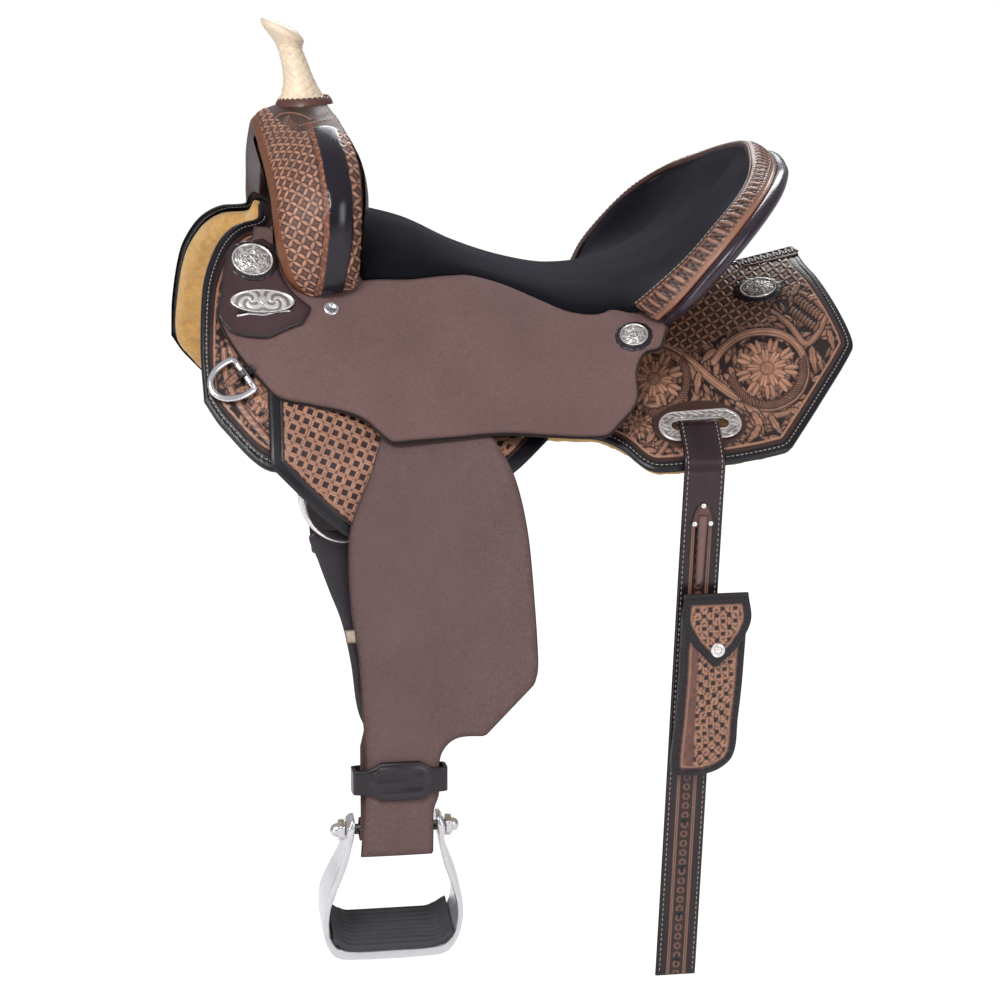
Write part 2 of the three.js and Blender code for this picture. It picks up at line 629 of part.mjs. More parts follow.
// hobble strap: a rectangular loop round fender and leather, with an oval badge outside
function hobbleStrap() {
  const [sizeX, sizeY, sizeZ] = [23, 84, 25];
  const [x, y, z] = [254.5, -196, -402.5];
  const wall = 3;
  const outerFace = x + sizeX / 2;
  const box = (...size) => toManifold(new THREE.BoxGeometry(...size).translate(x, y, z));
  const badge = prismX(shifted(ellipse(24, 17, 16), y, z), outerFace - 1, outerFace + 2.5);
  return mainBody(box(sizeX, sizeY, sizeZ)
    .subtract(box(sizeX - 2 * wall, sizeY - 2 * wall, 60))
    .add(toManifold(badge)));
}
addHanging('hobble_strap', hobbleStrap(), 'dark');

// ---------------------------------------------------------------- stirrup
// Drawn upright about the bolt, then leant in and narrowed along Y.
const STIRRUP_TILT = 20;    // degrees the stirrup hangs in from vertical
const STIRRUP_NARROW = .865;
const leant = geometry => geometry.translate(-BOLT.x, 0, -BOLT.z)
  .rotateY(STIRRUP_TILT * DEGREE)
  .translate(BOLT.x, 0, BOLT.z);
const narrowed = geometry => geometry.translate(0, -STIRRUP_Y, 0)
  .scale(1, STIRRUP_NARROW, 1)
  .translate(0, STIRRUP_Y, 0);
// prisms whose outlines are measured from the bolt's middle
const stirrupPrismX = (outline, half) =>
  prismX(shifted(outline, STIRRUP_Y, BOLT.z), BOLT.x - half, BOLT.x + half);
const stirrupPrismY = (outline, half) =>
  prismY(shifted(outline, BOLT.x, BOLT.z), STIRRUP_Y - half, STIRRUP_Y + half);

// front half of the frame, (y, z) from the bolt: outer edge down, inner edge up
const FRAME_OUTER = [
  [-48, 14], [-52, 4], [-52, -8], [-58, -30], [-68, -55], [-74, -75], [-74, -104],
  [-68, -122], [-60, -132], [-30, -136],
];
const FRAME_INNER = [
  [-40, -122], [-58, -118], [-66, -104], [-67, -78], [-61, -58], [-51, -32], [-45, -8],
  [-42, 14],
];
function stirrupFrame() {
  const rearHalf = edge => edge.map(([y, z]) => [-y, z]).reverse();
  const ring = [
    ...FRAME_OUTER, ...rearHalf(FRAME_OUTER), ...rearHalf(FRAME_INNER), ...FRAME_INNER,
  ];
  // the arms taper toward the bolt
  const taper = side => toManifold(stirrupPrismY([
    [side * 13, 20], [side * 13, -10], [side * 24.5, -84], [side * 60, -84], [side * 60, 20],
  ], 100));
  const boltHole = stirrupPrismY(ellipse(BOLT.r + .5, BOLT.r + .5, 14), 80);
  return mainBody(toManifold(stirrupPrismX(ring, 24))
    .subtract(taper(1))
    .subtract(taper(-1))
    .subtract(toManifold(boltHole)));
}
function stirrupBolt() {
  const head = 9;
  const shankEnd = 53.2;
  const profile = [
    [0, -66], [4, -64], [head - 1, -59], [head, -shankEnd], [BOLT.r, -shankEnd],
    [BOLT.r, shankEnd], [head, shankEnd], [head - 1, 59], [4, 64], [0, 66],
  ];
  return new THREE.LatheGeometry(points2(profile), 14).translate(BOLT.x, STIRRUP_Y, BOLT.z);
}
// tread: a bar with seven raised ribs
function stirrupTread() {
  const base = -117;
  const ribTop = -113;
  const outline = [[-52, base]];
  for (let i = 0; i < 7; i++) {
    const y = -51 + i * 15.4;
    outline.push([y, base], [y + 1.5, ribTop], [y + 8.5, ribTop], [y + 10, base]);
  }
  outline.push([52, base], [40, -120.8], [-40, -120.8]);
  return stirrupPrismX(outline.reverse(), 27);
}
addHanging('stirrup_frame', narrowed(leant(stirrupFrame())), 'silver');
addHanging('stirrup_bolt', narrowed(stirrupBolt()), 'steel');
addHanging('stirrup_tread', narrowed(leant(stirrupTread())), 'rubber');

// ---------------------------------------------------------------- dees, plates and conchos
// breast collar dee: straight bar and bow, standing just off the skirt
function breastDee() {
  const standoff = 6.6;
  const thickness = 5;
  const halfBar = 21;
  // near half of the loop from the bar to the bow's tip, in the dee's own plane
  const outerHalf = [[1, 10], [-3, 24], [-11, 33]];
  const innerHalf = [[-5, 11], [-8, 21], [-14, 28]];
  const loop = (corner, half, tip) => {
    const right = [corner, ...half].map(([x, y]) => [halfBar + x, y]);
    const left = right.map(([x, y]) => [-x, y]);
    return [left[0], ...right, tip, ...left.slice(1).reverse()];
  };
  const barFront = onFace(drape, 190, -335, standoff);
  const barRear = onFace(drape, 211, -315, standoff);
  const middle = barFront.clone().add(barRear).multiplyScalar(.5);
  const bowward = onFace(drape, 220, -356, standoff).sub(middle);
  const frame = frameAt(middle, barRear.clone().sub(barFront), bowward);
  return extrude(loop([0, -3], outerHalf, [0, 37]), thickness,
    [loop([-6, 3], innerHalf, [0, 31])])
    .translate(0, 0, -thickness / 2)
    .applyMatrix4(frame);
}
addBoth('breast_dee', breastDee(), 'steel');

const DEE_KEEPER = [[188, -308], [200, -297], [185, -287], [174, -300]];
addBoth('dee_keeper', piece(drape, DEE_KEEPER, .9, 2.6, 12, 12), 'dark');

// round-ended outline, each end in the given number of segments
function stadium(length, width, segments) {
  const outline = [];
  for (const side of [1, -1]) {
    for (let i = 0; i <= segments; i++) {
      const angle = -side * Math.PI / 2 + Math.PI * i / segments;
      outline.push([
        side * (length / 2 - width / 2) + width / 2 * Math.cos(angle),
        width / 2 * Math.sin(angle),
      ]);
    }
  }
  return outline;
}
const slotPlate = extrude(stadium(77, 35, 6), 2, [stadium(53, 12, 4)])
  .applyMatrix4(faceFrame(drape, 204.5, 90.2, 1.6));
addBoth('slot_plate', slotPlate, 'silver');

// Flank billet: from the plate's slot over the skirt's edge, then straight down.
const BILLET = {
  y0: 53,
  y1: 91,
  // (x, z): outer face going down, inner face coming back up
  outer: [
    [208.5, -90.3], [219.5, -98.6], [230.7, -107.7], [240.3, -115.6], [246, -122.5],
    [247.6, -132],
  ],
  inner: [
    [243.6, -133], [242.3, -126], [237, -119.2], [228, -111.4], [217, -102.3],
    [206.5, -93.6],
  ],
};
const billet = endZ => prismY(
  [...BILLET.outer, [247.6, endZ], [243.6, endZ], ...BILLET.inner], BILLET.y0, BILLET.y1);
// shear y with z, so that the billet leans a little forward as it drops
const BILLET_LEAN = new THREE.Matrix4().set(
  1, 0, 0, 0,
  0, 1, .0465, 19.25,
  0, 0, 1, 0,
  0, 0, 0, 1);
// the off billet is short and carries the buckle
function offBillet() {
  const y = (BILLET.y0 + BILLET.y1) / 2;
  const buckle = prismX(rectangle(y - 26, y + 26, -184, -145), 243.2, 248,
    [rectangle(y - 20, y + 20, -178, -150)]);
  return flipX(mainBody(toManifold(billet(-152)).add(toManifold(buckle))));
}
add('flank_billet_near', billet(-608).applyMatrix4(BILLET_LEAN), 'dark');
add('flank_billet_off', offBillet().applyMatrix4(BILLET_LEAN), 'dark');

// conchos: low domed discs lying on a face, rx fore and aft
const CONCHO_H = 4;
const CONCHOS = {
  front: { face: jockeyFace, x: 128.5, y: -310, offset: GAP + 5.6, rx: 19, ry: 17, count: 14 },
  oval: { face: jockeyFace, x: 156, y: -304, offset: GAP + 7.1, rx: 29, ry: 12, count: 14 },
  jockey: { face: jockeyFace, x: 168, y: 36, offset: 1.5, rx: 13, ry: 13, count: 12 },
  skirt: { face: drape, x: 63.2, y: 180, offset: 3.5, rx: 17, ry: 15, count: 14 },
};
function concho({ face, x, y, offset, rx, ry, count }) {
  const ring = (share, z) => ellipse(rx * share, ry * share, count).map(p => V(...p, z));
  return loft([ring(1, 0), ring(1, CONCHO_H / 2), ring(.5, CONCHO_H)])
    .applyMatrix4(faceFrame(face, x, y, offset));
}
for (const [place, spec] of Object.entries(CONCHOS)) {
  addBoth(`concho_${place}`, concho(spec), 'silver');
}

// ---------------------------------------------------------------- case on the near billet
// outline (y, z) before it is shortened toward its top edge
const CASE = [
  [52, -300], [51, -330], [48, -380], [44, -436], [49, -441], [80, -441], [101, -424],
  [110, -330], [112, -252], [106, -248], [58, -248],
];
const FLAP = [
  [53, -246], [112, -246], [114, -270], [104, -290], [88, -306], [82, -310], [76, -304],
  [60, -286], [52, -268],
];
const CASE_TOP = -248;
const CASE_SHORTEN = .845;
const CASE_SHIFT_Y = 10.5;
const CASE_X = 248.6;       // inner face
const FLAP_X = 265;         // outer face
function caseBody() {
  const outline = CASE.map(([y, z]) => [y, CASE_TOP + (z - CASE_TOP) * CASE_SHORTEN]);
  return prismX(outline, CASE_X, 261).translate(0, CASE_SHIFT_Y, 0);
}
// flap over the outer face, a strip across the top and a round snap
function caseFlap() {
  const flap = prismX(FLAP, FLAP_X - 3, FLAP_X);
  const strip = prismX(rectangle(53, 112, -246, -241), CASE_X, FLAP_X);
  const snap = new THREE.CylinderGeometry(6, 7, 4, 12)
    .rotateZ(-Math.PI / 2).translate(FLAP_X + 1.5, 84, -294);
  return mainBody(toManifold(flap).add(toManifold(strip)).add(toManifold(snap)))
    .translate(0, CASE_SHIFT_Y, 0);
}
add('case_body', caseBody(), 'black');
add('case_flap', caseFlap(), 'black');

export default saddle;
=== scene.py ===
"""A tooled western saddle on a pale floor.

It lies with y along the horse (horn toward -y, cantle toward +y), z up, and x across with
the near side at +x. Points are in millimetres until build() turns them into metres. Most
pieces are made for the near side and mirrored. The off side's fender, leather and stirrup
are also swung forward and drawn up.
"""
import math
import bmesh
import bpy
import numpy as np
from mathutils import Vector, Matrix, geometry


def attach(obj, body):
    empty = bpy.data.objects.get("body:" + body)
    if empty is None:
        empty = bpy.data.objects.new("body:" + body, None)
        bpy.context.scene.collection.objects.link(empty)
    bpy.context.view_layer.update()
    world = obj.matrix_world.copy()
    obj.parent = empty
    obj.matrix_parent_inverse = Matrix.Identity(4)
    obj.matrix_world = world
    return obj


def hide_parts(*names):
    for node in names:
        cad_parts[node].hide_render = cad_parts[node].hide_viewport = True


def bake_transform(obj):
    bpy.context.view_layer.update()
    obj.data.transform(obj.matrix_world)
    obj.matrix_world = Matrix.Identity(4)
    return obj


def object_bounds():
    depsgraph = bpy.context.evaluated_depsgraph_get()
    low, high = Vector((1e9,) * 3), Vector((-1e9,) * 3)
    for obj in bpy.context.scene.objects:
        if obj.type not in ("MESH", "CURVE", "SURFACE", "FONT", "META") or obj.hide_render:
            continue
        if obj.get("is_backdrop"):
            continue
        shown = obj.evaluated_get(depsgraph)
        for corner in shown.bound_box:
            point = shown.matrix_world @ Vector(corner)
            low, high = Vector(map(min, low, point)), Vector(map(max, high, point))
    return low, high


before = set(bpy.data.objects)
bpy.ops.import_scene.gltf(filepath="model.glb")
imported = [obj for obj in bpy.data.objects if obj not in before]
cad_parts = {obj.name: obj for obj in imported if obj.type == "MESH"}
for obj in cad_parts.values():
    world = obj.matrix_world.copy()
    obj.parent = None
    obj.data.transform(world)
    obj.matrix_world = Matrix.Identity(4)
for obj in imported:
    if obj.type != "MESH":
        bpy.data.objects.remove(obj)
cad_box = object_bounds()
TOOLED_STEP = .72 * 1.25    # mesh spacing of the tooled leather

# ---------------------------------------------------------------- view and drawing plane
# Carving is laid out on an upright drawing plane square to the line of sight and thrown
# onto the leather along the sight lines. Its points are mm toward the cantle and mm down,
# from the point where the line of sight meets it.
EYE_DISTANCE = 3000.0                           # eye to the point it aims at
PLANE_DISTANCE = EYE_DISTANCE / .975            # eye to the drawing plane
PLANE_WIDTH = 1000.0                            # width of the drawing plane in view
STAMP_START = 500.0                             # repeats count from this far up and forward
AZIMUTH, ELEVATION = math.radians(80), math.radians(11.5)
AIM = np.array([0., -59., -203.])
TOWARD_EYE = np.array([math.sin(AZIMUTH) * math.cos(ELEVATION),
                       -math.cos(AZIMUTH) * math.cos(ELEVATION), math.sin(ELEVATION)])
ACROSS = np.array([math.cos(AZIMUTH), math.sin(AZIMUTH), 0.])
UPWARD = np.cross(TOWARD_EYE, ACROSS)
EYE = AIM + EYE_DISTANCE * TOWARD_EYE


def unit(vectors, guard=0.):
    return vectors / (np.linalg.norm(vectors, axis=-1, keepdims=True) + guard)


def to_plane(points):
    sight = np.asarray(points, float) - EYE
    depth = -(sight @ TOWARD_EYE)
    return np.stack([PLANE_DISTANCE * (sight @ ACROSS) / depth,
                     -PLANE_DISTANCE * (sight @ UPWARD) / depth], -1)


def cast(plane_points, surface, offset=0.):
    """Where sight lines first meet z = surface(x, y) + offset on the near side."""
    spots = np.asarray(plane_points, float)
    ways = unit(-TOWARD_EYE * PLANE_DISTANCE + ACROSS * spots[:, :1] - UPWARD * spots[:, 1:])
    reach = np.linspace(2500, 3450, 380)
    path = EYE + reach[None, :, None] * ways[:, None]
    gap = path[..., 2] - (surface(path[..., 0], path[..., 1]) + offset)
    gap = np.where(path[..., 0] < -3, -1, gap)
    out = np.zeros((len(spots), 3))
    for i in range(len(spots)):
        found = np.where((gap[i, :-1] > 0) & (gap[i, 1:] <= 0))[0]
        j = found[0] if len(found) else 250     # a line that misses stops part way
        above, below = gap[i, j], gap[i, j + 1]
        share = above / (above - below) if above != below else 0
        out[i] = path[i, j] + share * (path[i, j + 1] - path[i, j])
    return out


# ---------------------------------------------------------------- curves
def hermite(share, length, start, start_slope, end, end_slope):
    s = share
    return ((1 + 2 * s) * (1 - s) ** 2 * start + s * (1 - s) ** 2 * length * start_slope
            + s * s * (3 - 2 * s) * end + s * s * (s - 1) * length * end_slope)


def slopes(stations, values):
    """Slope at each station, weighted by the neighbouring gaps."""
    gaps = np.diff(stations)
    rise = np.diff(values, axis=0) / gaps.reshape((-1,) + (1,) * (values.ndim - 1))
    out = np.empty_like(values)
    out[0], out[-1] = rise[0], rise[-1]
    for i in range(1, len(stations) - 1):
        before, after = gaps[i - 1], gaps[i]
        out[i] = (rise[i - 1] * after + rise[i] * before) / (before + after)
    return out


def curve(stations, values, at):
    """Smooth curve through stations, running on straight past both ends."""
    stations, values, at = (np.asarray(a, float) for a in (stations, values, at))
    slope = slopes(stations, values)
    i = np.clip(np.searchsorted(stations, at) - 1, 0, len(stations) - 2)
    length = stations[i + 1] - stations[i]
    share = np.clip((at - stations[i]) / length, 0, 1)
    if values.ndim > 1:
        length, share, at = length[..., None], share[..., None], at[..., None]
    first, last = stations[0], stations[-1]
    return (hermite(share, length, values[i], slope[i], values[i + 1], slope[i + 1])
            + np.where(at < first, slope[0] * (at - first), 0)
            + np.where(at > last, slope[-1] * (at - last), 0))


def spline(points, count):
    """Evenly spaced points on a smooth open curve through points."""
    points = np.asarray(points, float)
    run = np.r_[0, np.cumsum(np.linalg.norm(np.diff(points, axis=0), axis=1))]
    at = np.linspace(0, run[-1], count)
    rise = (points[1:] - points[:-1]) / np.diff(run)[:, None]
    slope = np.vstack([rise[:1], (rise[1:] + rise[:-1]) / 2, rise[-1:]])
    i = np.clip(np.searchsorted(run, at) - 1, 0, len(run) - 2)
    length = (run[i + 1] - run[i])[:, None]
    share = (at - run[i])[:, None] / length
    return hermite(share, length, points[i], slope[i], points[i + 1], slope[i + 1])


def smooth_poly(entries, step=2.0, closed=True):
    """Rounded outline through points; a third value of 1 keeps a point a sharp corner."""
    points = [np.array(p[:2], float) for p in entries]
    sharp = [len(p) > 2 and p[2] == 1 for p in entries]
    count = len(points)
    out = []
    for i in range(count if closed else count - 1):
        j = (i + 1) % count
        start, end = points[i], points[j]
        before = points[(i - 1) % count] if (closed or i > 0) else start
        after = points[(i + 2) % count] if (closed or i + 2 < count) else end
        length = np.linalg.norm(end - start)
        start_slope = end_slope = end - start
        if not sharp[i]:
            reach = max(length + np.linalg.norm(start - before), 1e-6)
            start_slope = (end - before) / reach * length
        if not sharp[j]:
            reach = max(np.linalg.norm(after - end) + length, 1e-6)
            end_slope = (after - start) / reach * length
        pieces = max(1, int(round(length / step)))
        out += [hermite(k / pieces, 1, start, start_slope, end, end_slope)
                for k in range(pieces)]
    if not closed:
        out.append(points[-1])
    return np.array(out)


def resample(points, step, closed=True):
    points = np.asarray(points, float)
    loop = np.vstack([points, points[:1]]) if closed else points
    run = np.r_[0, np.cumsum(np.linalg.norm(np.diff(loop, axis=0), axis=1))]
    count = max(3, int(round(run[-1] / step)))
    at = np.linspace(0, run[-1], count + 1)
    if closed:
        at = at[:-1]
    return np.stack([np.interp(at, run, loop[:, k]) for k in range(points.shape[1])], -1)


# ---------------------------------------------------------------- carrying surfaces
# Body under the skirts: ridge height and fall to the side at stations along y.
BODY_Y = [-370, -330, -280, -230, -180, -100, 0, 100, 230, 280]
BODY_RIDGE = [168, 140, 108, 78, 48, 11, 0, 10, 36, 48]
BODY_FALL = [.0755, .0673, .0590, .0520, .0455, .0368, .0355, .0370, .0406, .0420]


def body_z(x, y):
    return curve(BODY_Y, BODY_RIDGE, y) - curve(BODY_Y, BODY_FALL, y) * np.abs(x) ** 1.5


def table_surface(xs, ys, heights):
    """Surface z(|x|, y) through a table of heights, one row to a y station."""
    xs, ys, heights = np.array(xs, float), np.array(ys, float), np.array(heights, float)

    def surface(x, y):
        x, y = np.broadcast_arrays(np.abs(np.asarray(x, float)), np.asarray(y, float))
        shape = x.shape
        x, y = x.ravel(), y.ravel()
        column = curve(ys, heights, y).T
        slope = slopes(xs, column)
        i = np.clip(np.searchsorted(xs, x) - 1, 0, len(xs) - 2)
        n = np.arange(len(x))
        length = xs[i + 1] - xs[i]
        share = np.clip((x - xs[i]) / length, 0, 1)
        z = hermite(share, length, column[i, n], slope[i, n], column[i + 1, n],
                    slope[i + 1, n])
        return (z + np.where(x > xs[-1], slope[-1] * (x - xs[-1]), 0)).reshape(shape)
    return surface


TABLE_X = [0, 60, 110, 150, 190, 230, 270]
jockey_z = table_surface(
    TABLE_X, [-345, -330, -280, -230, -190, -150, -100, -50, 0, 40, 80], [
        [158, 129, 86, 37, -18, -79, -144], [150, 119, 77, 29, -24, -82, -146],
        [120, 102, 66, 20, -28, -81, -136], [100, 84, 50, 10, -35, -80, -126],
        [86, 78, 48, 6, -37, -78, -120], [74, 68, 40, -2, -42, -81, -122],
        [50, 46, 28, -5, -43, -83, -124], [33, 30, 18, -9, -45, -86, -128],
        [25, 22, 13, -10, -46, -88, -130], [27, 24, 14, -6, -38, -84, -128],
        [30, 27, 18, 2, -22, -74, -120]])
seat_z = table_surface(
    TABLE_X, [-230, -190, -150, -100, -50, 0, 40, 60, 80, 110, 140, 165, 178, 205], [
        [100, 84, 50, 10, -35, -80, -126], [86, 78, 48, 6, -37, -78, -120],
        [74, 68, 40, -2, -42, -81, -122], [50, 46, 28, -5, -43, -83, -124],
        [33, 30, 18, -9, -45, -86, -128], [25, 22, 13, -8, -40, -80, -120],
        [29, 26, 17, 8, 10, 10, 10], [34, 31, 24, 24, 38, 50, 60],
        [42, 39, 33, 37, 60, 85, 105], [60, 57, 55, 66, 98, 130, 150],
        [88, 89, 96, 110, 135, 160, 180], [118, 126, 131, 142, 160, 180, 200],
        [141, 143, 149, 160, 176, 195, 215], [190, 190, 194, 202, 215, 232, 250]])


def plan_normal(surface, x, y):
    return unit(np.stack([-(surface(x + 1, y) - surface(x - 1, y)) / 2,
                          -(surface(x, y + 1) - surface(x, y - 1)) / 2,
                          np.ones_like(x)], -1))


def lift_plan(surface):
    """Carries (x, y) onto surface; gives points and normals."""
    def lift(plan):
        x, y = plan[:, 0], plan[:, 1]
        return np.stack([x, y, surface(x, y)], -1), plan_normal(surface, x, y)
    return lift


def lift_side(side):
    """Carries (y, z) onto x = side(y, z), facing +x."""
    def lift(flat):
        y, z = flat[:, 0], flat[:, 1]
        x = side(y, z)
        slope_y = (side(y + 1, z) - side(y - 1, z)) / 2
        slope_z = (side(y, z + 1) - side(y, z - 1)) / 2
        normal = unit(np.stack([np.ones_like(x), -slope_y, -slope_z], -1))
        return np.stack([x, y, z], -1), normal
    return lift


def surface_frame(surface, x, y, offset):
    """Origin, two tangents and normal at a spot on a plan surface; the first runs along y."""
    xs, ys = np.array([float(x)]), np.array([float(y)])
    normal = plan_normal(surface, xs, ys)[0]
    origin = np.array([x, y, float(surface(xs, ys)[0])]) + normal * offset
    along = unit(np.array([0, 1., 0]) - normal * normal[1])
    return origin, along, np.cross(normal, along), normal


def side_frame(x, y, z):
    return np.array([x, y, z]), np.array([0, 1., 0]), np.array([0, 0, 1.]), np.array([1., 0, 0])


def on_frame(local, x, y, height):
    origin, along, over, normal = local
    return (origin + x[..., None] * along + y[..., None] * over
            + np.asarray(height)[..., None] * normal)


# ---------------------------------------------------------------- outlines and shading sums
def ease(low, high, x):
    t = np.clip((x - low) / (high - low), 0, 1)
    return t * t * (3 - 2 * t)


def fade(low, high, x):
    return 1 - ease(low, high, x)


def signed_power(value, power):
    return np.sign(value) * np.abs(value) ** power


def mix(base, over, weight):
    """Blend of heights, or of rows of colour."""
    if np.ndim(base) == 2:
        weight = weight[:, None]
    return base * (1 - weight) + over * weight


def segment_dist(points, starts, ends):
    out = np.full(len(points), 1e9)
    runs = ends - starts
    squared = np.maximum((runs ** 2).sum(1), 1e-12)
    for k in range(0, len(points), 8000):
        away = points[k:k + 8000][:, None] - starts[None]
        t = np.clip((away * runs[None]).sum(2) / squared[None], 0, 1)
        off = away - t[..., None] * runs[None]
        out[k:k + 8000] = np.sqrt((off ** 2).sum(2).min(1))
    return out


def outline_dist(points, outline):
    return segment_dist(points, outline, np.roll(outline, -1, 0))


def inside(points, outline):
    out = np.zeros(len(points), bool)
    x, y = points[:, 0], points[:, 1]
    for (x1, y1), (x2, y2) in zip(outline, np.roll(outline, -1, 0)):
        if y1 != y2:
            out ^= ((y1 > y) != (y2 > y)) & (x < (x2 - x1) * (y - y1) / (y2 - y1) + x1)
    return out


def turns_left(outline):
    x, y = outline[:, 0], outline[:, 1]
    return np.sum(x * np.roll(y, -1) - np.roll(x, -1) * y) >= 0


def left_normals(outline):
    run = np.roll(outline, -1, 0) - np.roll(outline, 1, 0)
    return unit(np.stack([-run[:, 1], run[:, 0]], -1), 1e-9)


def hash2(a, b, seed=0.):
    value = np.sin(a * 127.1 + b * 311.7 + seed * 74.7) * 43758.5453
    return value - np.floor(value)


def noise2(x, y, seed=0.):
    """Smooth value noise, one cell to a unit."""
    xi, yi = np.floor(x), np.floor(y)
    fx, fy = x - xi, y - yi
    fx, fy = fx * fx * (3 - 2 * fx), fy * fy * (3 - 2 * fy)
    a, b = hash2(xi, yi, seed), hash2(xi + 1, yi, seed)
    c, d = hash2(xi, yi + 1, seed), hash2(xi + 1, yi + 1, seed)
    return a + (b - a) * fx + (c - a) * fy + (a - b - c + d) * fx * fy


def rgb(red, green, blue):
    """Linear colour from 0-255 display values."""
    c = np.array([red, green, blue], float) / 255.
    return np.where(c <= .04045, c / 12.92, ((c + .055) / 1.055) ** 2.4)


TAN, MID, DARK = rgb(166, 121, 98), rgb(96, 65, 56), rgb(34, 20, 21)
BLACK, EDGE = rgb(20, 17, 23), rgb(30, 22, 22)


# ---------------------------------------------------------------- mesh building
def build(name, points, faces, col=None, rough=.5):
    """Smooth mesh from mm points; 'col' holds colour, with roughness as its alpha."""
    mesh = bpy.data.meshes.new(name)
    points = np.asarray(points, np.float32) * .001
    faces = np.asarray(faces, np.int32)
    count = len(points)
    mesh.vertices.add(count)
    mesh.vertices.foreach_set("co", points.ravel())
    mesh.loops.add(faces.size)
    mesh.loops.foreach_set("vertex_index", faces.ravel())
    mesh.polygons.add(len(faces))
    mesh.polygons.foreach_set("loop_start", np.arange(0, faces.size, 3, dtype=np.int32))
    mesh.polygons.foreach_set("loop_total", np.full(len(faces), 3, np.int32))
    mesh.update(calc_edges=True)
    mesh.validate()
    mesh.polygons.foreach_set("use_smooth", np.ones(len(mesh.polygons), bool))
    if col is not None:
        layer = mesh.color_attributes.new("col", 'FLOAT_COLOR', 'POINT')
        values = np.c_[np.broadcast_to(col, (count, 3)), np.broadcast_to(rough, count)]
        layer.data.foreach_set("color", values.astype(np.float32).ravel())
    mesh.update()
    o = bpy.data.objects.new(name, mesh)
    bpy.context.scene.collection.objects.link(o)
    return o


def transform(o, matrix):
    o.data.transform(matrix)
    if matrix.determinant() < 0:
        o.data.flip_normals()
    o.data.update()
    return o


def copy_of(o, name, matrix):
    twin = bpy.data.objects.new(name, o.data.copy())
    bpy.context.scene.collection.objects.link(twin)
    return transform(twin, matrix)


def join(objects, name):
    bpy.ops.object.select_all(action='DESELECT')
    for o in objects:
        o.select_set(True)
    bpy.context.view_layer.objects.active = objects[0]
    bpy.ops.object.join()
    objects[0].name = name
    objects[0].data.name = name
    return objects[0]


def outward(o, weld=None):
    """Faces turned outward, after welding points closer than weld metres."""
    bm = bmesh.new()
    bm.from_mesh(o.data)
    if weld:
        bmesh.ops.remove_doubles(bm, verts=bm.verts, dist=weld)
    bmesh.ops.recalc_face_normals(bm, faces=bm.faces)
    bm.to_mesh(o.data)
    bm.free()
    return o


def triangulate(points, boundary_count):
    """The first boundary_count points form the closed boundary."""
    edges = [(i, (i + 1) % boundary_count) for i in range(boundary_count)]
    result = geometry.delaunay_2d_cdt([Vector(p) for p in points.tolist()], edges, [], 1, 1e-6)
    return (np.array([v[:] for v in result[0]]),
            np.array([f[:] for f in result[2] if len(f) == 3], int))


def faces_along(faces, points, normals):
    a, b, c = (points[faces[:, k]] for k in range(3))
    if (np.cross(b - a, c - a) * normals[faces[:, 0]]).sum() < 0:
        return faces[:, ::-1]
    return faces


def grid_faces(rows, columns, close_rows=False, close_columns=False):
    i, j = np.meshgrid(np.arange(rows if close_rows else rows - 1),
                       np.arange(columns if close_columns else columns - 1), indexing='ij')
    i, j = i.ravel(), j.ravel()
    next_i, next_j = (i + 1) % rows, (j + 1) % columns
    a, b = i * columns + j, next_i * columns + j
    c, d = next_i * columns + next_j, i * columns + next_j
    return np.vstack([np.c_[a, b, c], np.c_[a, c, d]])


def open_edges(faces):
    edges = np.vstack([faces[:, [0, 1]], faces[:, [1, 2]], faces[:, [2, 0]]])
    _, index, count = np.unique(np.sort(edges, 1), axis=0, return_index=True,
                                return_counts=True)
    return edges[index[count == 1]]


def shell_faces(faces, count):
    """A skin, its copy count points on, and walls between their open edges."""
    edges = open_edges(faces)
    start, end = edges[:, 0], edges[:, 1]
    return np.vstack([faces, faces[:, ::-1] + count, np.c_[end, start, start + count],
                      np.c_[end, start + count, end + count]])


def shell(name, top, under, col=None, rough=.5, close_columns=False):
    """Closed solid between two grids of points."""
    faces = grid_faces(top.shape[0], top.shape[1], False, close_columns)
    count = top.shape[0] * top.shape[1]
    points = np.vstack([top.reshape(-1, 3), under.reshape(-1, 3)])
    return outward(build(name, points, shell_faces(faces, count), col, rough))


def grid_points(x, y, z):
    return np.stack(np.broadcast_arrays(x, y, z), -1)


def capped(rings):
    """Points and faces of a tube of rings closed by a fan at each end."""
    count, seg = rings.shape[:2]
    points = np.vstack([rings.reshape(-1, 3), rings[0].mean(0), rings[-1].mean(0)])
    k = np.arange(seg)
    following = (k + 1) % seg
    last = (count - 1) * seg
    first_cap = np.c_[k, following, np.full(seg, count * seg)]
    last_cap = np.c_[last + following, last + k, np.full(seg, count * seg + 1)]
    return points, np.vstack([grid_faces(count, seg, False, True), first_cap, last_cap])


def tube(path, radii, seg, closed=False, up=None):
    """Oval tube on a path; radii are its half widths along up and sideways."""
    path = np.asarray(path, float)
    if closed:
        along = np.roll(path, -1, 0) - np.roll(path, 1, 0)
    else:
        along = np.gradient(path, axis=0)
    along = unit(along, 1e-9)
    if up is None:
        up = np.cross(along[0], [0, 0, 1.])
        if np.linalg.norm(up) < .1:
            up = np.cross(along[0], [1., 0, 0])
    up = np.asarray(up, float)
    ups = []
    for way in along:
        up = unit(up - (up @ way) * way, 1e-9)
        ups.append(up)
    ups = np.array(ups)
    sides = np.cross(along, ups)
    angle = np.linspace(0, 2 * np.pi, seg, endpoint=False)[None, :, None]
    rings = (path[:, None] + radii[0] * np.cos(angle) * ups[:, None]
             + radii[1] * np.sin(angle) * sides[:, None])
    if closed:
        return rings.reshape(-1, 3), grid_faces(len(path), seg, True, True)
    points, faces = capped(rings)
    points[-2:] = path[0], path[-1]
    return points, faces


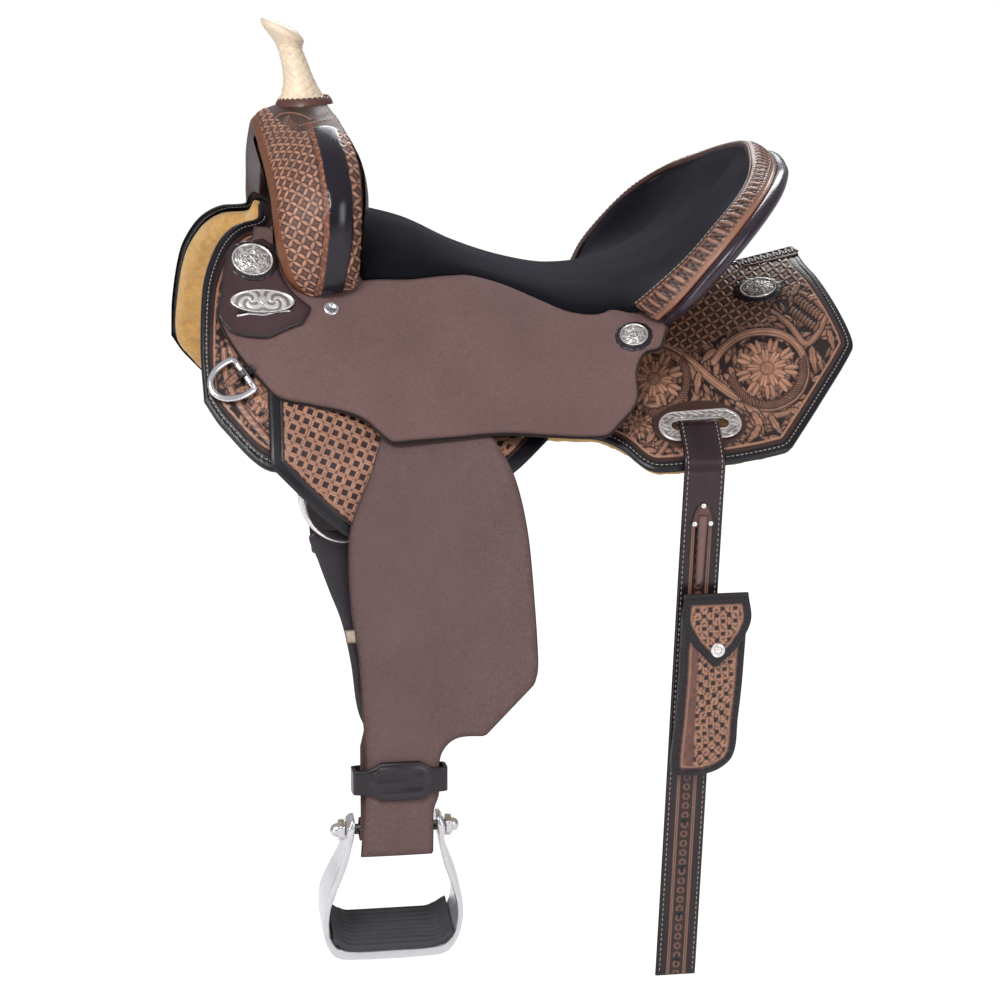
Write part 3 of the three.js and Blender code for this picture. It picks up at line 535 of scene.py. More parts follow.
def sheet(name, lift, outline, step, thick, tool=None, top=0., rim_col=None,
          base=(.1, .06, .05), edge_r=None, open_under=False, zone=None):
    """A leather piece with real thickness, rounded edges and a tooled top.

    The outline is in the lift's own two coordinates. tool gives height, colour and
    roughness; zone marks where a mesh finer than COARSE_STEP is wanted.
    """
    edge_r = min(thick * .5, 1.7) if edge_r is None else edge_r
    outline = resample(outline, step * .9)
    if not turns_left(outline):
        outline = outline[::-1]
    inward = left_normals(outline)
    parts = [outline]
    insets = [q for q in (edge_r * .3, edge_r * .9, edge_r * 1.9) if q < step * .75]
    for inset in insets:
        ring = outline + inward * inset
        clear = outline_dist(ring, outline) > inset * .93
        parts.append(ring[clear & inside(ring, outline)])
    low, high = outline.min(0), outline.max(0)
    grid_x, grid_y = np.meshgrid(np.arange(low[0], high[0], step),
                                 np.arange(low[1], high[1], step * .866))
    grid_x = grid_x + (np.arange(grid_x.shape[0]) % 2)[:, None] * step * .5
    fill = np.stack([grid_x.ravel(), grid_y.ravel()], -1)
    fill = fill[inside(fill, outline)]
    if zone is not None:
        cell = np.round(fill / (COARSE_STEP * .9))
        near_cell = np.abs(fill - cell * COARSE_STEP * .9).max(1) < step * .5
        fill = fill[zone(fill) | near_cell]
    margin = max(step * .55, edge_r * 1.9 + step * .35 if insets else 0)
    parts.append(fill[outline_dist(fill, outline) > margin])
    flat, faces = triangulate(np.vstack(parts), len(outline))

    dist = outline_dist(flat, outline)
    points, normals = lift(flat)
    near = np.clip(dist, 0, edge_r)
    drop = edge_r - np.sqrt(np.maximum(edge_r * edge_r - (edge_r - near) ** 2, 0))
    count = len(flat)
    if tool is None:
        height, col, rough = np.zeros(count), np.tile(base, (count, 1)), np.full(count, .6)
    else:
        height, col, rough = tool(flat, points + normals * top, dist)
    skin = points + normals * (top + height - drop)[:, None]
    if rim_col is not None:
        col = mix(col, rim_col, fade(edge_r * .25, edge_r * 1.1, dist))
    faces = faces_along(faces, skin, normals)
    if open_under:
        edges = open_edges(faces)
        rim = np.unique(edges)
        below = np.full(count, -1)
        below[rim] = np.arange(len(rim)) + count
        start, end = edges[:, 0], edges[:, 1]
        walls = np.vstack([np.c_[end, start, below[start]],
                           np.c_[end, below[start], below[end]]])
        foot = points[rim] + normals[rim] * (top - thick)
        return build(name, np.vstack([skin, foot]), np.vstack([faces, walls]),
                     np.vstack([col, col[rim]]), np.concatenate([rough, rough[rim]]))
    under = points + normals * (top - thick + drop)[:, None]
    under_col = np.tile(base, (count, 1))
    if rim_col is not None:
        under_col = np.where((dist < edge_r)[:, None], rim_col, under_col)
    return build(name, np.vstack([skin, under]), shell_faces(faces, count),
                 np.vstack([col, under_col]), np.concatenate([rough, np.full(count, .85)]))


COARSE_STEP = 7.


def inset_line(outline, inset, lift, keep):
    """Runs of lifted points and normals lying inset inside an outline's edge."""
    outline = resample(outline, 1.5)
    line = outline + left_normals(outline) * inset * (1 if turns_left(outline) else -1)
    good = (outline_dist(line, outline) > inset * .94) & keep(line)
    gaps = np.where(~good)[0]
    first = gaps[0] if len(gaps) else 0
    runs, run = [], []
    for i in range(len(line)):
        j = (i + first) % len(line)
        if good[j]:
            run.append(j)
        else:
            runs.append(run)
            run = []
    runs.append(run)
    return [lift(line[run]) for run in runs if len(run) > 4]


# Stitch sections: place along the stitch, share of the full radius.
STITCH_RINGS = [(0, .35), (.14, .85), (.5, 1.), (.86, .85), (1, .35)]


def stitch_run(line, normals, length, gap, radius, lift):
    line = np.asarray(line, float)
    run = np.r_[0, np.cumsum(np.linalg.norm(np.diff(line, axis=0), axis=1))]
    count = int(run[-1] / (length + gap))
    if count < 1:
        return None
    begin = np.arange(count) * (run[-1] / count) + gap * .5

    def at(t, rows):
        return np.stack([np.interp(t, run, rows[:, k]) for k in range(3)], -1)
    start = at(begin, line)
    normal = unit(at(begin + length * .5, np.asarray(normals, float)))
    reach = at(begin + length, line) - start
    span = np.linalg.norm(reach, axis=1)[:, None]
    way = reach / span
    side = np.cross(normal, way)
    points = []
    for place, share in STITCH_RINGS:
        rise = lift + radius * .35 * math.sin(math.pi * place) - .1
        centre = start + way * span * place + normal * rise
        for angle in np.linspace(0, 2 * np.pi, 6, endpoint=False):
            points.append(centre + (side * math.cos(angle)
                                    + normal * math.sin(angle) * .8) * radius * share)
    faces = []
    for i in range(4):
        for k in range(6):
            a, b = i * 6 + k, i * 6 + (k + 1) % 6
            faces += [(a, b, b + 6), (a, b + 6, a + 6)]
    faces = np.array(faces)[None] + (np.arange(count) * 30)[:, None, None]
    return np.stack(points, 1).reshape(-1, 3), faces.reshape(-1, 3)


def sew(name, lines, length, gap, radius, lift):
    """Thread stitches along lines of (points, normals)."""
    points, faces, count = [], [], 0
    for line, normals in lines:
        run = stitch_run(line, normals, length, gap, radius, lift)
        if run is not None:
            points.append(run[0])
            faces.append(run[1] + count)
            count += len(run[0])
    return build(name, np.vstack(points), np.vstack(faces))


# ---------------------------------------------------------------- materials
def new_material(name):
    m = bpy.data.materials.new(name)
    m.use_nodes = True
    tree = m.node_tree
    tree.nodes.clear()
    out = tree.nodes.new("ShaderNodeOutputMaterial")
    shader = tree.nodes.new("ShaderNodeBsdfPrincipled")
    tree.links.new(shader.outputs[0], out.inputs[0])
    return m, tree, shader


def feed(tree, socket, value):
    """Link a socket, or set a plain value."""
    if isinstance(value, bpy.types.NodeSocket):
        tree.links.new(value, socket)
    else:
        socket.default_value = value


def object_coords(tree):
    return tree.nodes.new("ShaderNodeTexCoord").outputs["Object"]


def noise_node(tree, coords, scale, detail, roughness):
    n = tree.nodes.new("ShaderNodeTexNoise")
    n.inputs["Scale"].default_value = scale
    n.inputs["Detail"].default_value = detail
    n.inputs["Roughness"].default_value = roughness
    tree.links.new(coords, n.inputs["Vector"])
    return n.outputs["Fac"]


def math_node(tree, operation, a, b, clamp=False):
    n = tree.nodes.new("ShaderNodeMath")
    n.operation = operation
    n.use_clamp = clamp
    feed(tree, n.inputs[0], a)
    feed(tree, n.inputs[1], b)
    return n.outputs[0]


def spread(tree, value, low, high):
    """0..1 mapped to low..high."""
    n = tree.nodes.new("ShaderNodeMapRange")
    tree.links.new(value, n.inputs[0])
    n.inputs[3].default_value = low
    n.inputs[4].default_value = high
    return n.outputs[0]


def mix_node(tree, factor, a, b, mode='MIX'):
    n = tree.nodes.new("ShaderNodeMix")
    n.data_type = 'RGBA'
    n.blend_type = mode
    for i, value in ((0, factor), (6, a), (7, b)):
        feed(tree, n.inputs[i], value)
    return n.outputs[2]


def col_node(tree):
    n = tree.nodes.new("ShaderNodeVertexColor")
    n.layer_name = "col"
    return n.outputs["Color"], n.outputs["Alpha"]


def set_bump(bump, strength, distance):
    bump.inputs["Strength"].default_value = strength
    bump.inputs["Distance"].default_value = distance     # metres


def leather(name, color=None, rough=.45, grain=900., bump=.08, vary=.12, coat=0., sheen=0.,
            sheen_tint=(1, 1, 1, 1), speckle=0., patch_scale=90.):
    """Without a color it takes the piece's own 'col', whose alpha is its roughness."""
    m, tree, shader = new_material(name)
    coords = object_coords(tree)
    patches = noise_node(tree, coords, scale=patch_scale, detail=3, roughness=.55)
    if color is None:
        base, base_rough = col_node(tree)
    else:
        n = tree.nodes.new("ShaderNodeRGB")
        n.outputs[0].default_value = (*color, 1)
        base, base_rough = n.outputs[0], rough
    shade = spread(tree, patches, 1 - vary, 1 + vary)
    if speckle:
        fine = noise_node(tree, coords, scale=2200., detail=3, roughness=.7)
        medium = noise_node(tree, coords, scale=700., detail=4, roughness=.75)
        broad = noise_node(tree, coords, scale=260., detail=5, roughness=.8)
        for layer, share in ((broad, .7), (fine, 1.), (medium, .8)):
            swing = speckle * share
            shade = math_node(tree, 'MULTIPLY', shade,
                              spread(tree, layer, 1 - swing, 1 + swing))
    grey = tree.nodes.new("ShaderNodeCombineColor")
    for i in range(3):
        tree.links.new(shade, grey.inputs[i])
    tree.links.new(mix_node(tree, 1., base, grey.outputs[0], 'MULTIPLY'),
                   shader.inputs["Base Color"])
    wander = spread(tree, patches, -.06, .06)
    tree.links.new(math_node(tree, 'ADD', wander, base_rough, clamp=True),
                   shader.inputs["Roughness"])
    cells = tree.nodes.new("ShaderNodeTexVoronoi")
    cells.inputs["Scale"].default_value = grain
    tree.links.new(coords, cells.inputs["Vector"])
    pores = noise_node(tree, coords, scale=grain * .6, detail=4, roughness=.6)
    height = math_node(tree, 'ADD', cells.outputs["Distance"], pores)
    relief = tree.nodes.new("ShaderNodeBump")
    set_bump(relief, strength=bump, distance=.0006)
    tree.links.new(height, relief.inputs["Height"])
    tree.links.new(relief.outputs[0], shader.inputs["Normal"])
    matt = sheen or (color is not None and rough > .8)
    shader.inputs["Specular IOR Level"].default_value = .15 if matt else .36
    if coat:
        shader.inputs["Coat Weight"].default_value = coat
        shader.inputs["Coat Roughness"].default_value = .22
    if sheen:
        shader.inputs["Sheen Weight"].default_value = sheen
        shader.inputs["Sheen Roughness"].default_value = .45
        shader.inputs["Sheen Tint"].default_value = sheen_tint
    return m


def metal(name, color=None, rough=.3, metallic=.9, bump=0.):
    """Without a color it takes the piece's own 'col'."""
    m, tree, shader = new_material(name)
    coords = object_coords(tree)
    cloud = noise_node(tree, coords, scale=260., detail=4, roughness=.6)
    if color is None:
        base, base_rough = col_node(tree)
        tree.links.new(base, shader.inputs["Base Color"])
        wander = spread(tree, cloud, -.05, .05)
        tree.links.new(math_node(tree, 'ADD', base_rough, wander, clamp=True),
                       shader.inputs["Roughness"])
    else:
        dull = tuple(c * .93 for c in color)
        tree.links.new(mix_node(tree, cloud, (*dull, 1), (*color, 1)),
                       shader.inputs["Base Color"])
        tree.links.new(spread(tree, cloud, max(rough - .05, .02), rough + .07),
                       shader.inputs["Roughness"])
    shader.inputs["Metallic"].default_value = metallic
    if bump:
        relief = tree.nodes.new("ShaderNodeBump")
        set_bump(relief, strength=bump, distance=.0003)
        pits = noise_node(tree, coords, scale=900., detail=5, roughness=.7)
        tree.links.new(pits, relief.inputs["Height"])
        tree.links.new(relief.outputs[0], shader.inputs["Normal"])
    return m


def fleece_material():
    m, tree, shader = new_material("fleece")
    coords = object_coords(tree)
    tufts = noise_node(tree, coords, scale=120., detail=6, roughness=.7)
    fibres = noise_node(tree, coords, scale=900., detail=5, roughness=.8)
    tufts = math_node(tree, 'MULTIPLY', tufts, .6)
    fibres = math_node(tree, 'MULTIPLY', fibres, .4)
    pile = math_node(tree, 'ADD', tufts, fibres)
    factor = spread(tree, pile, -.3, 1.3)
    tree.links.new(mix_node(tree, factor, (*rgb(140, 88, 30), 1), (*rgb(240, 188, 104), 1)),
                   shader.inputs["Base Color"])
    shader.inputs["Roughness"].default_value = .95
    shader.inputs["Sheen Weight"].default_value = .6
    shader.inputs["Sheen Tint"].default_value = (1, .85, .6, 1)
    relief = tree.nodes.new("ShaderNodeBump")
    set_bump(relief, strength=.9, distance=.003)
    tree.links.new(pile, relief.inputs["Height"])
    tree.links.new(relief.outputs[0], shader.inputs["Normal"])
    return m


MATERIALS = dict(
    tool=leather("tooled_leather", bump=.10, vary=.16, coat=.10, grain=1100.),
    rough=leather("roughout_leather", bump=.55, vary=.07, speckle=.42, grain=1500., sheen=.28,
                  sheen_tint=(.75, .6, .55, 1)),
    dark=leather("dark_leather", bump=.10, vary=.12, coat=.24, grain=1300.),
    suede=leather("suede", rgb(12, 11, 18), rough=.97, bump=.4, vary=.12, speckle=.25,
                  grain=1800., sheen=.06, sheen_tint=(.5, .5, .7, 1)),
    raw=leather("rawhide", bump=.18, vary=.05, coat=.12, grain=800.),
    thread=leather("thread", rgb(150, 140, 128), rough=.7, bump=.3, vary=.1, grain=2500.),
    thread_dark=leather("thread_dark", rgb(58, 44, 40), rough=.6, bump=.3, vary=.1,
                        grain=2500.),
    steel=metal("stainless", rgb(215, 211, 212), rough=.22, metallic=.86),
    alu=metal("aluminium", rgb(222, 220, 222), rough=.24, metallic=.74, bump=.05),
    silver=metal("engraved_silver", metallic=.72, bump=.06),
    rubber=leather("rubber", rgb(58, 57, 62), rough=.55, bump=.25, vary=.1, grain=700.),
    wood=leather("wood", rgb(176, 138, 92), rough=.7, bump=.3, vary=.2, grain=200.,
                 patch_scale=25.),
    tin=metal("tin", rgb(160, 162, 165), rough=.42),
    fleece=fleece_material(),
)


# ---------------------------------------------------------------- placing pieces
LEATHER_PIVOT = Vector((0, -.168, -.020))
OFF_RAISE = 112.                                # mm the off stirrup is drawn up
MIRROR = Matrix.Scale(-1, 4, (1, 0, 0))
SWUNG = (Matrix.Translation(LEATHER_PIVOT) @ Matrix.Rotation(math.radians(16), 4, 'X')
         @ Matrix.Translation(-LEATHER_PIVOT) @ MIRROR)
SWUNG_RAISED = SWUNG @ Matrix.Translation((0, 0, OFF_RAISE * .001))


def dress(o, material):
    o.data.materials.clear()
    o.data.materials.append(MATERIALS[material])


def put(o, material, body, *replaced):
    dress(o, material)
    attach(o, body)
    if replaced:
        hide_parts(*replaced)


def twins(near, name, material, node=None, body="saddle_body", across=MIRROR):
    """A near piece and its copy on the off side."""
    near.name = name + "_look_near"
    off = copy_of(near, name + "_look_off", across)
    for o, side in ((near, "near"), (off, "off")):
        replaced = (node + "_" + side,) if node else ()
        put(o, material, body if body == "saddle_body" else body + "_" + side, *replaced)


def hang(near, name, material, body):
    twins(near, name, material, name, body, SWUNG_RAISED)


# ---------------------------------------------------------------- tooling patterns
def turned(flat, pitch, angle):
    """Pattern coordinates turned by angle and counted in pitches."""
    c, s = math.cos(angle), math.sin(angle)
    return ((flat[:, 0] * c + flat[:, 1] * s) / pitch,
            (-flat[:, 0] * s + flat[:, 1] * c) / pitch)


def weave(flat, pitch, angle, depth, tones, hole_size):
    """Basketweave stamp; gives height, colour and roughness. The bars' colour carries a painted
    highlight on their crests.
    """
    p, q = turned(flat, pitch, angle)
    cell_p, cell_q = np.floor(p), np.floor(q)
    a, b = np.abs(p - cell_p - .5), np.abs(q - cell_q - .5)
    far, near = np.maximum(a, b), np.minimum(a, b)
    hole = fade(hole_size, hole_size + .07, far)
    bar = ease(hole_size + .03, hole_size + .09, far)
    mitre = fade(.02, .085, np.abs(a - b)) * bar
    bulge = np.sin(np.pi * np.clip((far - .26) / .24, 0, 1))
    line = np.maximum(mitre * .85, ease(.38, .45, near)) + ease(.46, .5, far) * .75
    line = np.clip(line, 0, 1)
    light, mid, dark = tones
    shade = hash2(cell_p, cell_q, 3.)[:, None] * .24 + .78
    # bars painted lighter toward their crests: a painted highlight over the stamp's relief, on
    # top of each cell's own tone
    col = light[None] * shade * (.62 + .62 * bulge[:, None])
    col = mix(col, dark, np.clip(hole, 0, 1))
    col = mix(col, dark * .85 + mid * .15, line * .82)
    height = depth * (bar * (.35 + .35 * bulge) - line * .30 - hole * .35)
    return height, col, .42 + .2 * hole


def petals(flat, pitch, angle, depth, tones):
    """Pointed petals along a square lattice, darker hollows between them; the petals carry a
    painted highlight toward their crowns.
    """
    p, q = turned(flat, pitch, angle)
    best, bulge, shade = np.full(len(p), 9.), np.zeros(len(p)), np.zeros(len(p))
    for a, b, seed in ((p, q, 3.), (q, p, 10.)):
        u, v = a - np.floor(a), np.abs(b - np.round(b))
        half = .21 * np.sin(np.pi * np.clip(u, .02, .98)) ** .8
        dist = v - half
        nearer = dist < best
        best = np.where(nearer, dist, best)
        dome = np.sqrt(np.clip(1 - (v / np.maximum(half, .02)) ** 2, 0, 1))
        bulge = np.where(nearer, dome, bulge)
        shade = np.where(nearer, hash2(np.floor(a), np.round(b), seed), shade)
    petal = fade(-.02, .02, best)
    line = fade(.015, .065, np.abs(best + .004))
    light, mid, dark = tones
    hollow = fade(.10, .26, best)
    base = mid[None] * (.55 + .55 * (1 - hollow[:, None]))
    # petal faces painted lighter toward their domes: painted highlight
    face = light[None] * (.66 + .5 * bulge[:, None]) * (.82 + .28 * shade[:, None])
    col = mix(mix(base, face, petal), dark, line * .85)
    height = depth * (.7 * bulge * petal + .18 * (1 - hollow) * (1 - petal) - .25 * line)
    return height, col, .42 + .12 * (1 - petal)


def links(flat, pitch, angle, depth, light, dark):
    """Offset rows of eight-sided links round small square holes."""
    p, q = turned(flat, pitch, angle)
    best, square = np.full(len(p), 9.), np.zeros(len(p))
    for shift in (0, .5):
        a, b = p + shift - np.round(p + shift), q + shift - np.round(q + shift)
        diamond = np.abs(a) + np.abs(b)
        nearer = diamond < best
        best = np.where(nearer, diamond, best)
        square = np.where(nearer, np.maximum(np.abs(a), np.abs(b)), square)
    hole = fade(.17, .23, square)
    cut = ease(.43, .48, best)
    col = mix(np.tile(light, (len(p), 1)), dark, np.clip(hole + .9 * cut, 0, 1))
    return depth * (.5 - .8 * hole - .5 * cut), col, .42 + .15 * hole


class Carving:
    """A drawn carving: height, raised design and cut lines in cells of the drawing plane.

    Each later shape lies over the earlier ones.
    """
    CELLS = 3                                   # cells to a mm

    def __init__(self, x0, y0, x1, y1):
        k = self.CELLS
        self.x0, self.y0 = x0, y0
        self.columns, self.rows = int((x1 - x0) * k), int((y1 - y0) * k)
        self.x, self.y = np.meshgrid(x0 + (np.arange(self.columns) + .5) / k,
                                     y0 + (np.arange(self.rows) + .5) / k)
        self.height, self.raised, self.cut = (np.zeros((self.rows, self.columns))
                                              for _ in range(3))

    def window(self, x0, y0, x1, y1):
        k = self.CELLS
        left, top = max(0, int((x0 - self.x0) * k)), max(0, int((y0 - self.y0) * k))
        right = min(self.columns, int((x1 - self.x0) * k) + 1)
        bottom = min(self.rows, int((y1 - self.y0) * k) + 1)
        return slice(top, max(top, bottom)), slice(left, max(left, right))

    def lay(self, window, cover, height, raised, cut):
        self.height[window] = mix_cells(self.height[window], height, cover)
        self.raised[window] = mix_cells(self.raised[window], raised, cover)
        self.cut[window] = mix_cells(self.cut[window], cut, cover)

    def outline(self, window, ring):
        self.cut[window] = np.maximum(self.cut[window], np.where(ring, .95, 0))

    def stroke(self, points, start_half, end_half):
        """A rounded ridge tapering between two half widths."""
        points = np.asarray(points, float)
        margin = max(start_half, end_half) + 2
        window = self.window(*(points.min(0) - margin), *(points.max(0) + margin))
        x, y = self.x[window], self.y[window]
        if x.size == 0:
            return
        cells = np.stack([x.ravel(), y.ravel()], -1)
        starts = points[:-1]
        runs = points[1:] - starts
        squared = np.maximum((runs ** 2).sum(1), 1e-9)
        best, place = np.full(len(cells), 1e9), np.zeros(len(cells))
        total = np.r_[0, np.cumsum(np.sqrt(squared))]
        for i in range(len(starts)):
            t = np.clip(((cells - starts[i]) @ runs[i]) / squared[i], 0, 1)
            dist = np.hypot(*(cells - starts[i] - t[:, None] * runs[i]).T)
            nearer = dist < best
            best[nearer] = dist[nearer]
            place[nearer] = (total[i] + t[nearer] * math.sqrt(squared[i])) / total[-1]
        half = start_half + (end_half - start_half) * place
        cover = fade(-.35, .35, best - half).reshape(x.shape)
        dome = np.sqrt(np.clip(1 - (best / np.maximum(half, .3)) ** 2, 0, 1))
        ring = ((best > half - .3) & (best < half + 1.1)).reshape(x.shape)
        self.outline(window, ring)
        self.height[window] *= np.where(ring & (cover < .5), .2, 1)
        self.lay(window, cover, (.55 + .45 * dome).reshape(x.shape), 1.,
                 ease(-.9, -.1, best - half).reshape(x.shape) * .7)

    def scroll(self, points, half):
        """A stem with two cut lines along it."""
        path = smooth_poly(points, 2.0, closed=False)
        self.stroke(path, half, half)
        along = unit(np.gradient(path, axis=0))
        side = np.stack([-along[:, 1], along[:, 0]], -1)
        for share in (-.42, .42):
            line = path + side * half * share
            window = self.window(*(line.min(0) - 2), *(line.max(0) + 2))
            cells = np.stack([self.x[window].ravel(), self.y[window].ravel()], -1)
            if len(cells):
                dist = segment_dist(cells, line[:-1], line[1:])
                groove = fade(.1, .6, dist).reshape(self.x[window].shape)
                self.cut[window] = np.maximum(self.cut[window], groove * .8)
                self.height[window] -= .3 * groove

    def leaf(self, x, y, angle, length, width, curl=0., lobes=0, raised=1.):
        reach = length + 4
        window = self.window(x - reach, y - reach, x + reach, y + reach)
        dx, dy = self.x[window] - x, self.y[window] - y
        if dx.size == 0:
            return
        c, s = math.cos(angle), math.sin(angle)
        along = (dx * c + dy * s) / length
        off = -dx * s + dy * c - curl * length * along * along
        inner = np.clip(along, 0, 1)
        half = width * np.sin(np.pi * inner ** .75) ** .8
        if lobes:
            half = half * (.72 + .28 * np.abs(np.sin(np.pi * lobes * inner)))
        dist = np.where((along < 0) | (along > 1), 9, np.abs(off) - half)
        share = np.abs(off) / np.maximum(half, .4)
        vein = fade(.15, .6, np.abs(off)) * (along < .9) * (along > .05)
        waves = .5 + .5 * np.sin(inner * (lobes * 2 + 5) * np.pi * 2 + share * 3)
        ribs = waves ** 3 * ease(.15, .5, share) * .55
        cut = np.clip(ease(-1.0, -.1, dist) * .7 + vein * .85 + ribs, 0, 1)
        height = .5 + .5 * (1 - share ** 2) - .25 * vein - .15 * ribs
        ring = (dist > -.2) & (dist < 1.1)
        self.outline(window, ring)
        self.height[window] *= np.where(ring, .25, 1)
        self.lay(window, fade(-.35, .35, dist), height, raised, cut)

    def flower(self, x, y, radius, petal_count, turn, squash=1.):
        reach = radius * 1.15 + 3
        window = self.window(x - reach, y - reach, x + reach, y + reach)
        dx, dy = self.x[window] - x, (self.y[window] - y) / squash
        if dx.size == 0:
            return
        r, angle = np.hypot(dx, dy) / radius, np.arctan2(dy, dx) + turn
        for layer, size, shift, ripple in ((0, 1., 0., 1.), (1, .66, .5, .6)):
            f = ((angle + shift * 2 * np.pi / petal_count) * petal_count / (2 * np.pi)) % 1 - .5
            edge = size * (.70 + .30 * np.cos(f * np.pi) ** .6
                           - .09 * np.cos(f * 6 * np.pi) * ripple)
            dist = (r - edge) * radius
            q = r / edge
            cleft = ease(.40, .5, np.abs(f))
            ribs = (.5 + .5 * np.cos(f * 2 * np.pi * 3)) ** 3 * ease(.2, .7, q) * .85
            cut = ease(-1.1, -.1, dist) * .75 + cleft * .9 + ribs + fade(.28, .52, q) * .4
            height = (.35 + .65 * np.sin(np.pi * np.clip(q, 0, 1) * .62 + .25)
                      - .4 * cleft + layer * .22)
            self.outline(window, (dist > -.2) & (dist < 1.2))
            self.lay(window, fade(-.35, .35, dist), height, 1., np.clip(cut, 0, 1))
        dist = (r - .24) * radius
        dots = np.cos(dx * 2.6) * np.cos(dy * 2.6) > .1
        self.lay(window, fade(-.35, .35, dist), .95 + .25 * dots, 1.,
                 np.clip(ease(-1.3, -.2, dist) + (~dots) * .6, 0, 1))

    def at(self, plane):
        """Height, raised and cut at drawing-plane points."""
        u = np.clip((plane[:, 0] - self.x0) * self.CELLS - .5, 0, self.columns - 1.001)
        v = np.clip((plane[:, 1] - self.y0) * self.CELLS - .5, 0, self.rows - 1.001)
        i, j = v.astype(int), u.astype(int)
        fu, fv = u - j, v - i
        i2, j2 = np.minimum(i + 1, self.rows - 1), np.minimum(j + 1, self.columns - 1)
        return tuple((a[i, j] * (1 - fu) + a[i, j2] * fu) * (1 - fv)
                     + (a[i2, j] * (1 - fu) + a[i2, j2] * fu) * fv
                     for a in (self.height, self.raised, self.cut))


def mix_cells(base, over, weight):
    return base * (1 - weight) + over * weight


def carve_tone(stamp, carved, raised, cut, depth):
    """Carved relief over a stamped dark ground, its raised parts painted lighter with their
    height as painted shading; gives height, colour and roughness.
    """
    x, y = stamp[:, 0], stamp[:, 1]
    dots = (.5 + .5 * np.cos(x * 3.1 + y * .6)) * (.5 + .5 * np.cos(y * 3.1 - x * .6))
    ground = DARK[None] * (1 + .9 * dots[:, None])
    wear = noise2(x * .12, y * .12, 1.)[:, None]
    # the carved height also brightens the colour: painted relief shading
    top = TAN[None] * (.36 + .74 * np.clip(carved, 0, 1.3)[:, None]) * (.8 + .3 * wear)
    top = mix(top, DARK * .9, np.clip(cut, 0, 1) * .86)
    col = mix(ground, top, ease(.25, .75, raised))
    height = depth * (raised * (.35 + .65 * carved) - .45 * cut * raised)
    return height + .12 * dots * (1 - raised), col, .44 + .14 * (1 - raised)


def border(dist, col, height, rough, width):
    """Dark dyed rim along the edge."""
    weight = fade(width - .4, width + .4, dist)
    return height * (1 - weight), mix(col, BLACK, weight), mix(rough, .36, weight)


def band_line(dist, col, height, at, width, tone, level):
    weight = fade(width * .5, width * .5 + .5, np.abs(dist - at))
    return mix(height, level, weight), mix(col, tone, weight)


def flat_band(dist, col, height, start, end, tone):
    """Untooled band from the edge to start, easing out by end."""
    weight = fade(start, end, dist)
    return height * (1 - weight), mix(col, tone, weight)


def plain_tool(tone, rough, edge=EDGE, noise_scale=.06, seed=11, low=.9, swing=.2,
               edge_fade=(.3, 2.), edge_share=.75):
    """Untooled leather, mottled and darker at the edge."""
    def tool(flat, points, dist):
        mottle = noise2(flat[:, 0] * noise_scale, flat[:, 1] * noise_scale, seed)
        col = tone[None] * (low + swing * mottle[:, None])
        col = mix(col, edge, edge_share * fade(*edge_fade, dist))
        return np.zeros(len(flat)), col, np.full(len(flat), rough)
    return tool


# ---------------------------------------------------------------- outlines, near side (x, y)
SKIRT = [
    [40, -288], [66, -297], [85, -319], [104, -335], [125, -347], [145, -355], [183, -361],
    [209, -361, 1], [222, -347], [245, -308], [240, -270], [216, -200], [208, -120],
    [205, -40], [207, -4], [217, 15], [234, 31], [240, 45], [239, 106], [235, 163],
    [231, 171, 1], [198, 205], [153, 248], [143, 250], [115, 247], [62, 238], [38, 233],
    [2.5, 232, 1], [2.5, 112, 1], [36, 100, 1], [36, -100]]
FLEECE = [
    [45, -284], [68, -292], [88, -315], [106, -330], [127, -342], [147, -350], [183, -356],
    [206, -356], [219, -344], [241, -307], [236, -272], [212, -200], [204, -120], [201, -40],
    [203, -2], [213, 18], [230, 34], [236, 47], [235, 105], [231, 162], [228, 169],
    [195, 202], [151, 244], [143, 246], [115, 243], [62, 234], [42, 226], [40, 100],
    [40, -100]]
JOCKEY = [
    [140, -327, 1], [160, -341], [170, -345], [187, -331], [202, -312], [214, -296],
    [219, -266], [223, -239], [229, -222], [238, -211], [245, -203], [248, -196],
    [244, -150], [240, -96], [240, -5], [232, 9], [217, 29], [196, 33], [185, 43], [186, 56],
    [178, 62], [158, 70], [138, 62], [128, 40, 1], [133, 24], [139, 8], [135, -18],
    [121.5, -45], [108.5, -74], [105, -104], [111, -125], [122.5, -169], [127, -209, 1],
    [118, -214], [108, -250], [98, -290], [98, -304, 1], [118, -312], [128, -325]]
SEAT_SIDE = [
    [125, -208, 1], [121, -169], [109, -125], [103, -104], [107, -74], [120, -45],
    [133.5, -18], [137.5, 8], [138, 24], [145, 34]]
# Cantle band from its near end to the middle: inner rim and outer edge (x, y, z).
RIM = np.array([[152, 39, 10], [172, 55, 29], [182, 80, 54], [175, 106, 80], [150, 133, 102],
                [110, 154, 117], [60, 169, 132], [0, 178, 141]], float)
BAND = np.array([[165, 60, -6], [188, 74, 14], [200, 103, 51], [190, 132, 81],
                 [155, 162, 106], [110, 182, 119], [60, 196, 124], [0, 203, 130]], float)
jockey_outline = smooth_poly(JOCKEY, 3)
skirt_outline = smooth_poly(SKIRT, 3)

# ---------------------------------------------------------------- skirts
# Rear carving. Scrolls: points (toward the cantle, down) and half width.
REAR_SCROLLS = [
    ([(140, -155), (164, -154), (190, -139), (214, -118), (242, -100), (270, -92),
      (296, -104), (306, -126), (300, -150), (284, -164), (264, -168), (241, -164),
      (222, -150), (214, -138)], 3.6),
    ([(130, -148), (152, -150), (176, -142), (193, -126), (197, -108), (188, -92),
      (164, -94), (140, -92)], 3.4),
    ([(272, -188), (290, -174), (306, -156), (320, -170), (324, -188), (312, -202),
      (296, -208)], 2.8),
    ([(238, -96), (260, -86), (284, -86), (300, -96)], 2.6),
    ([(118, -30), (150, -38), (168, -60), (164, -76)], 2.4)]
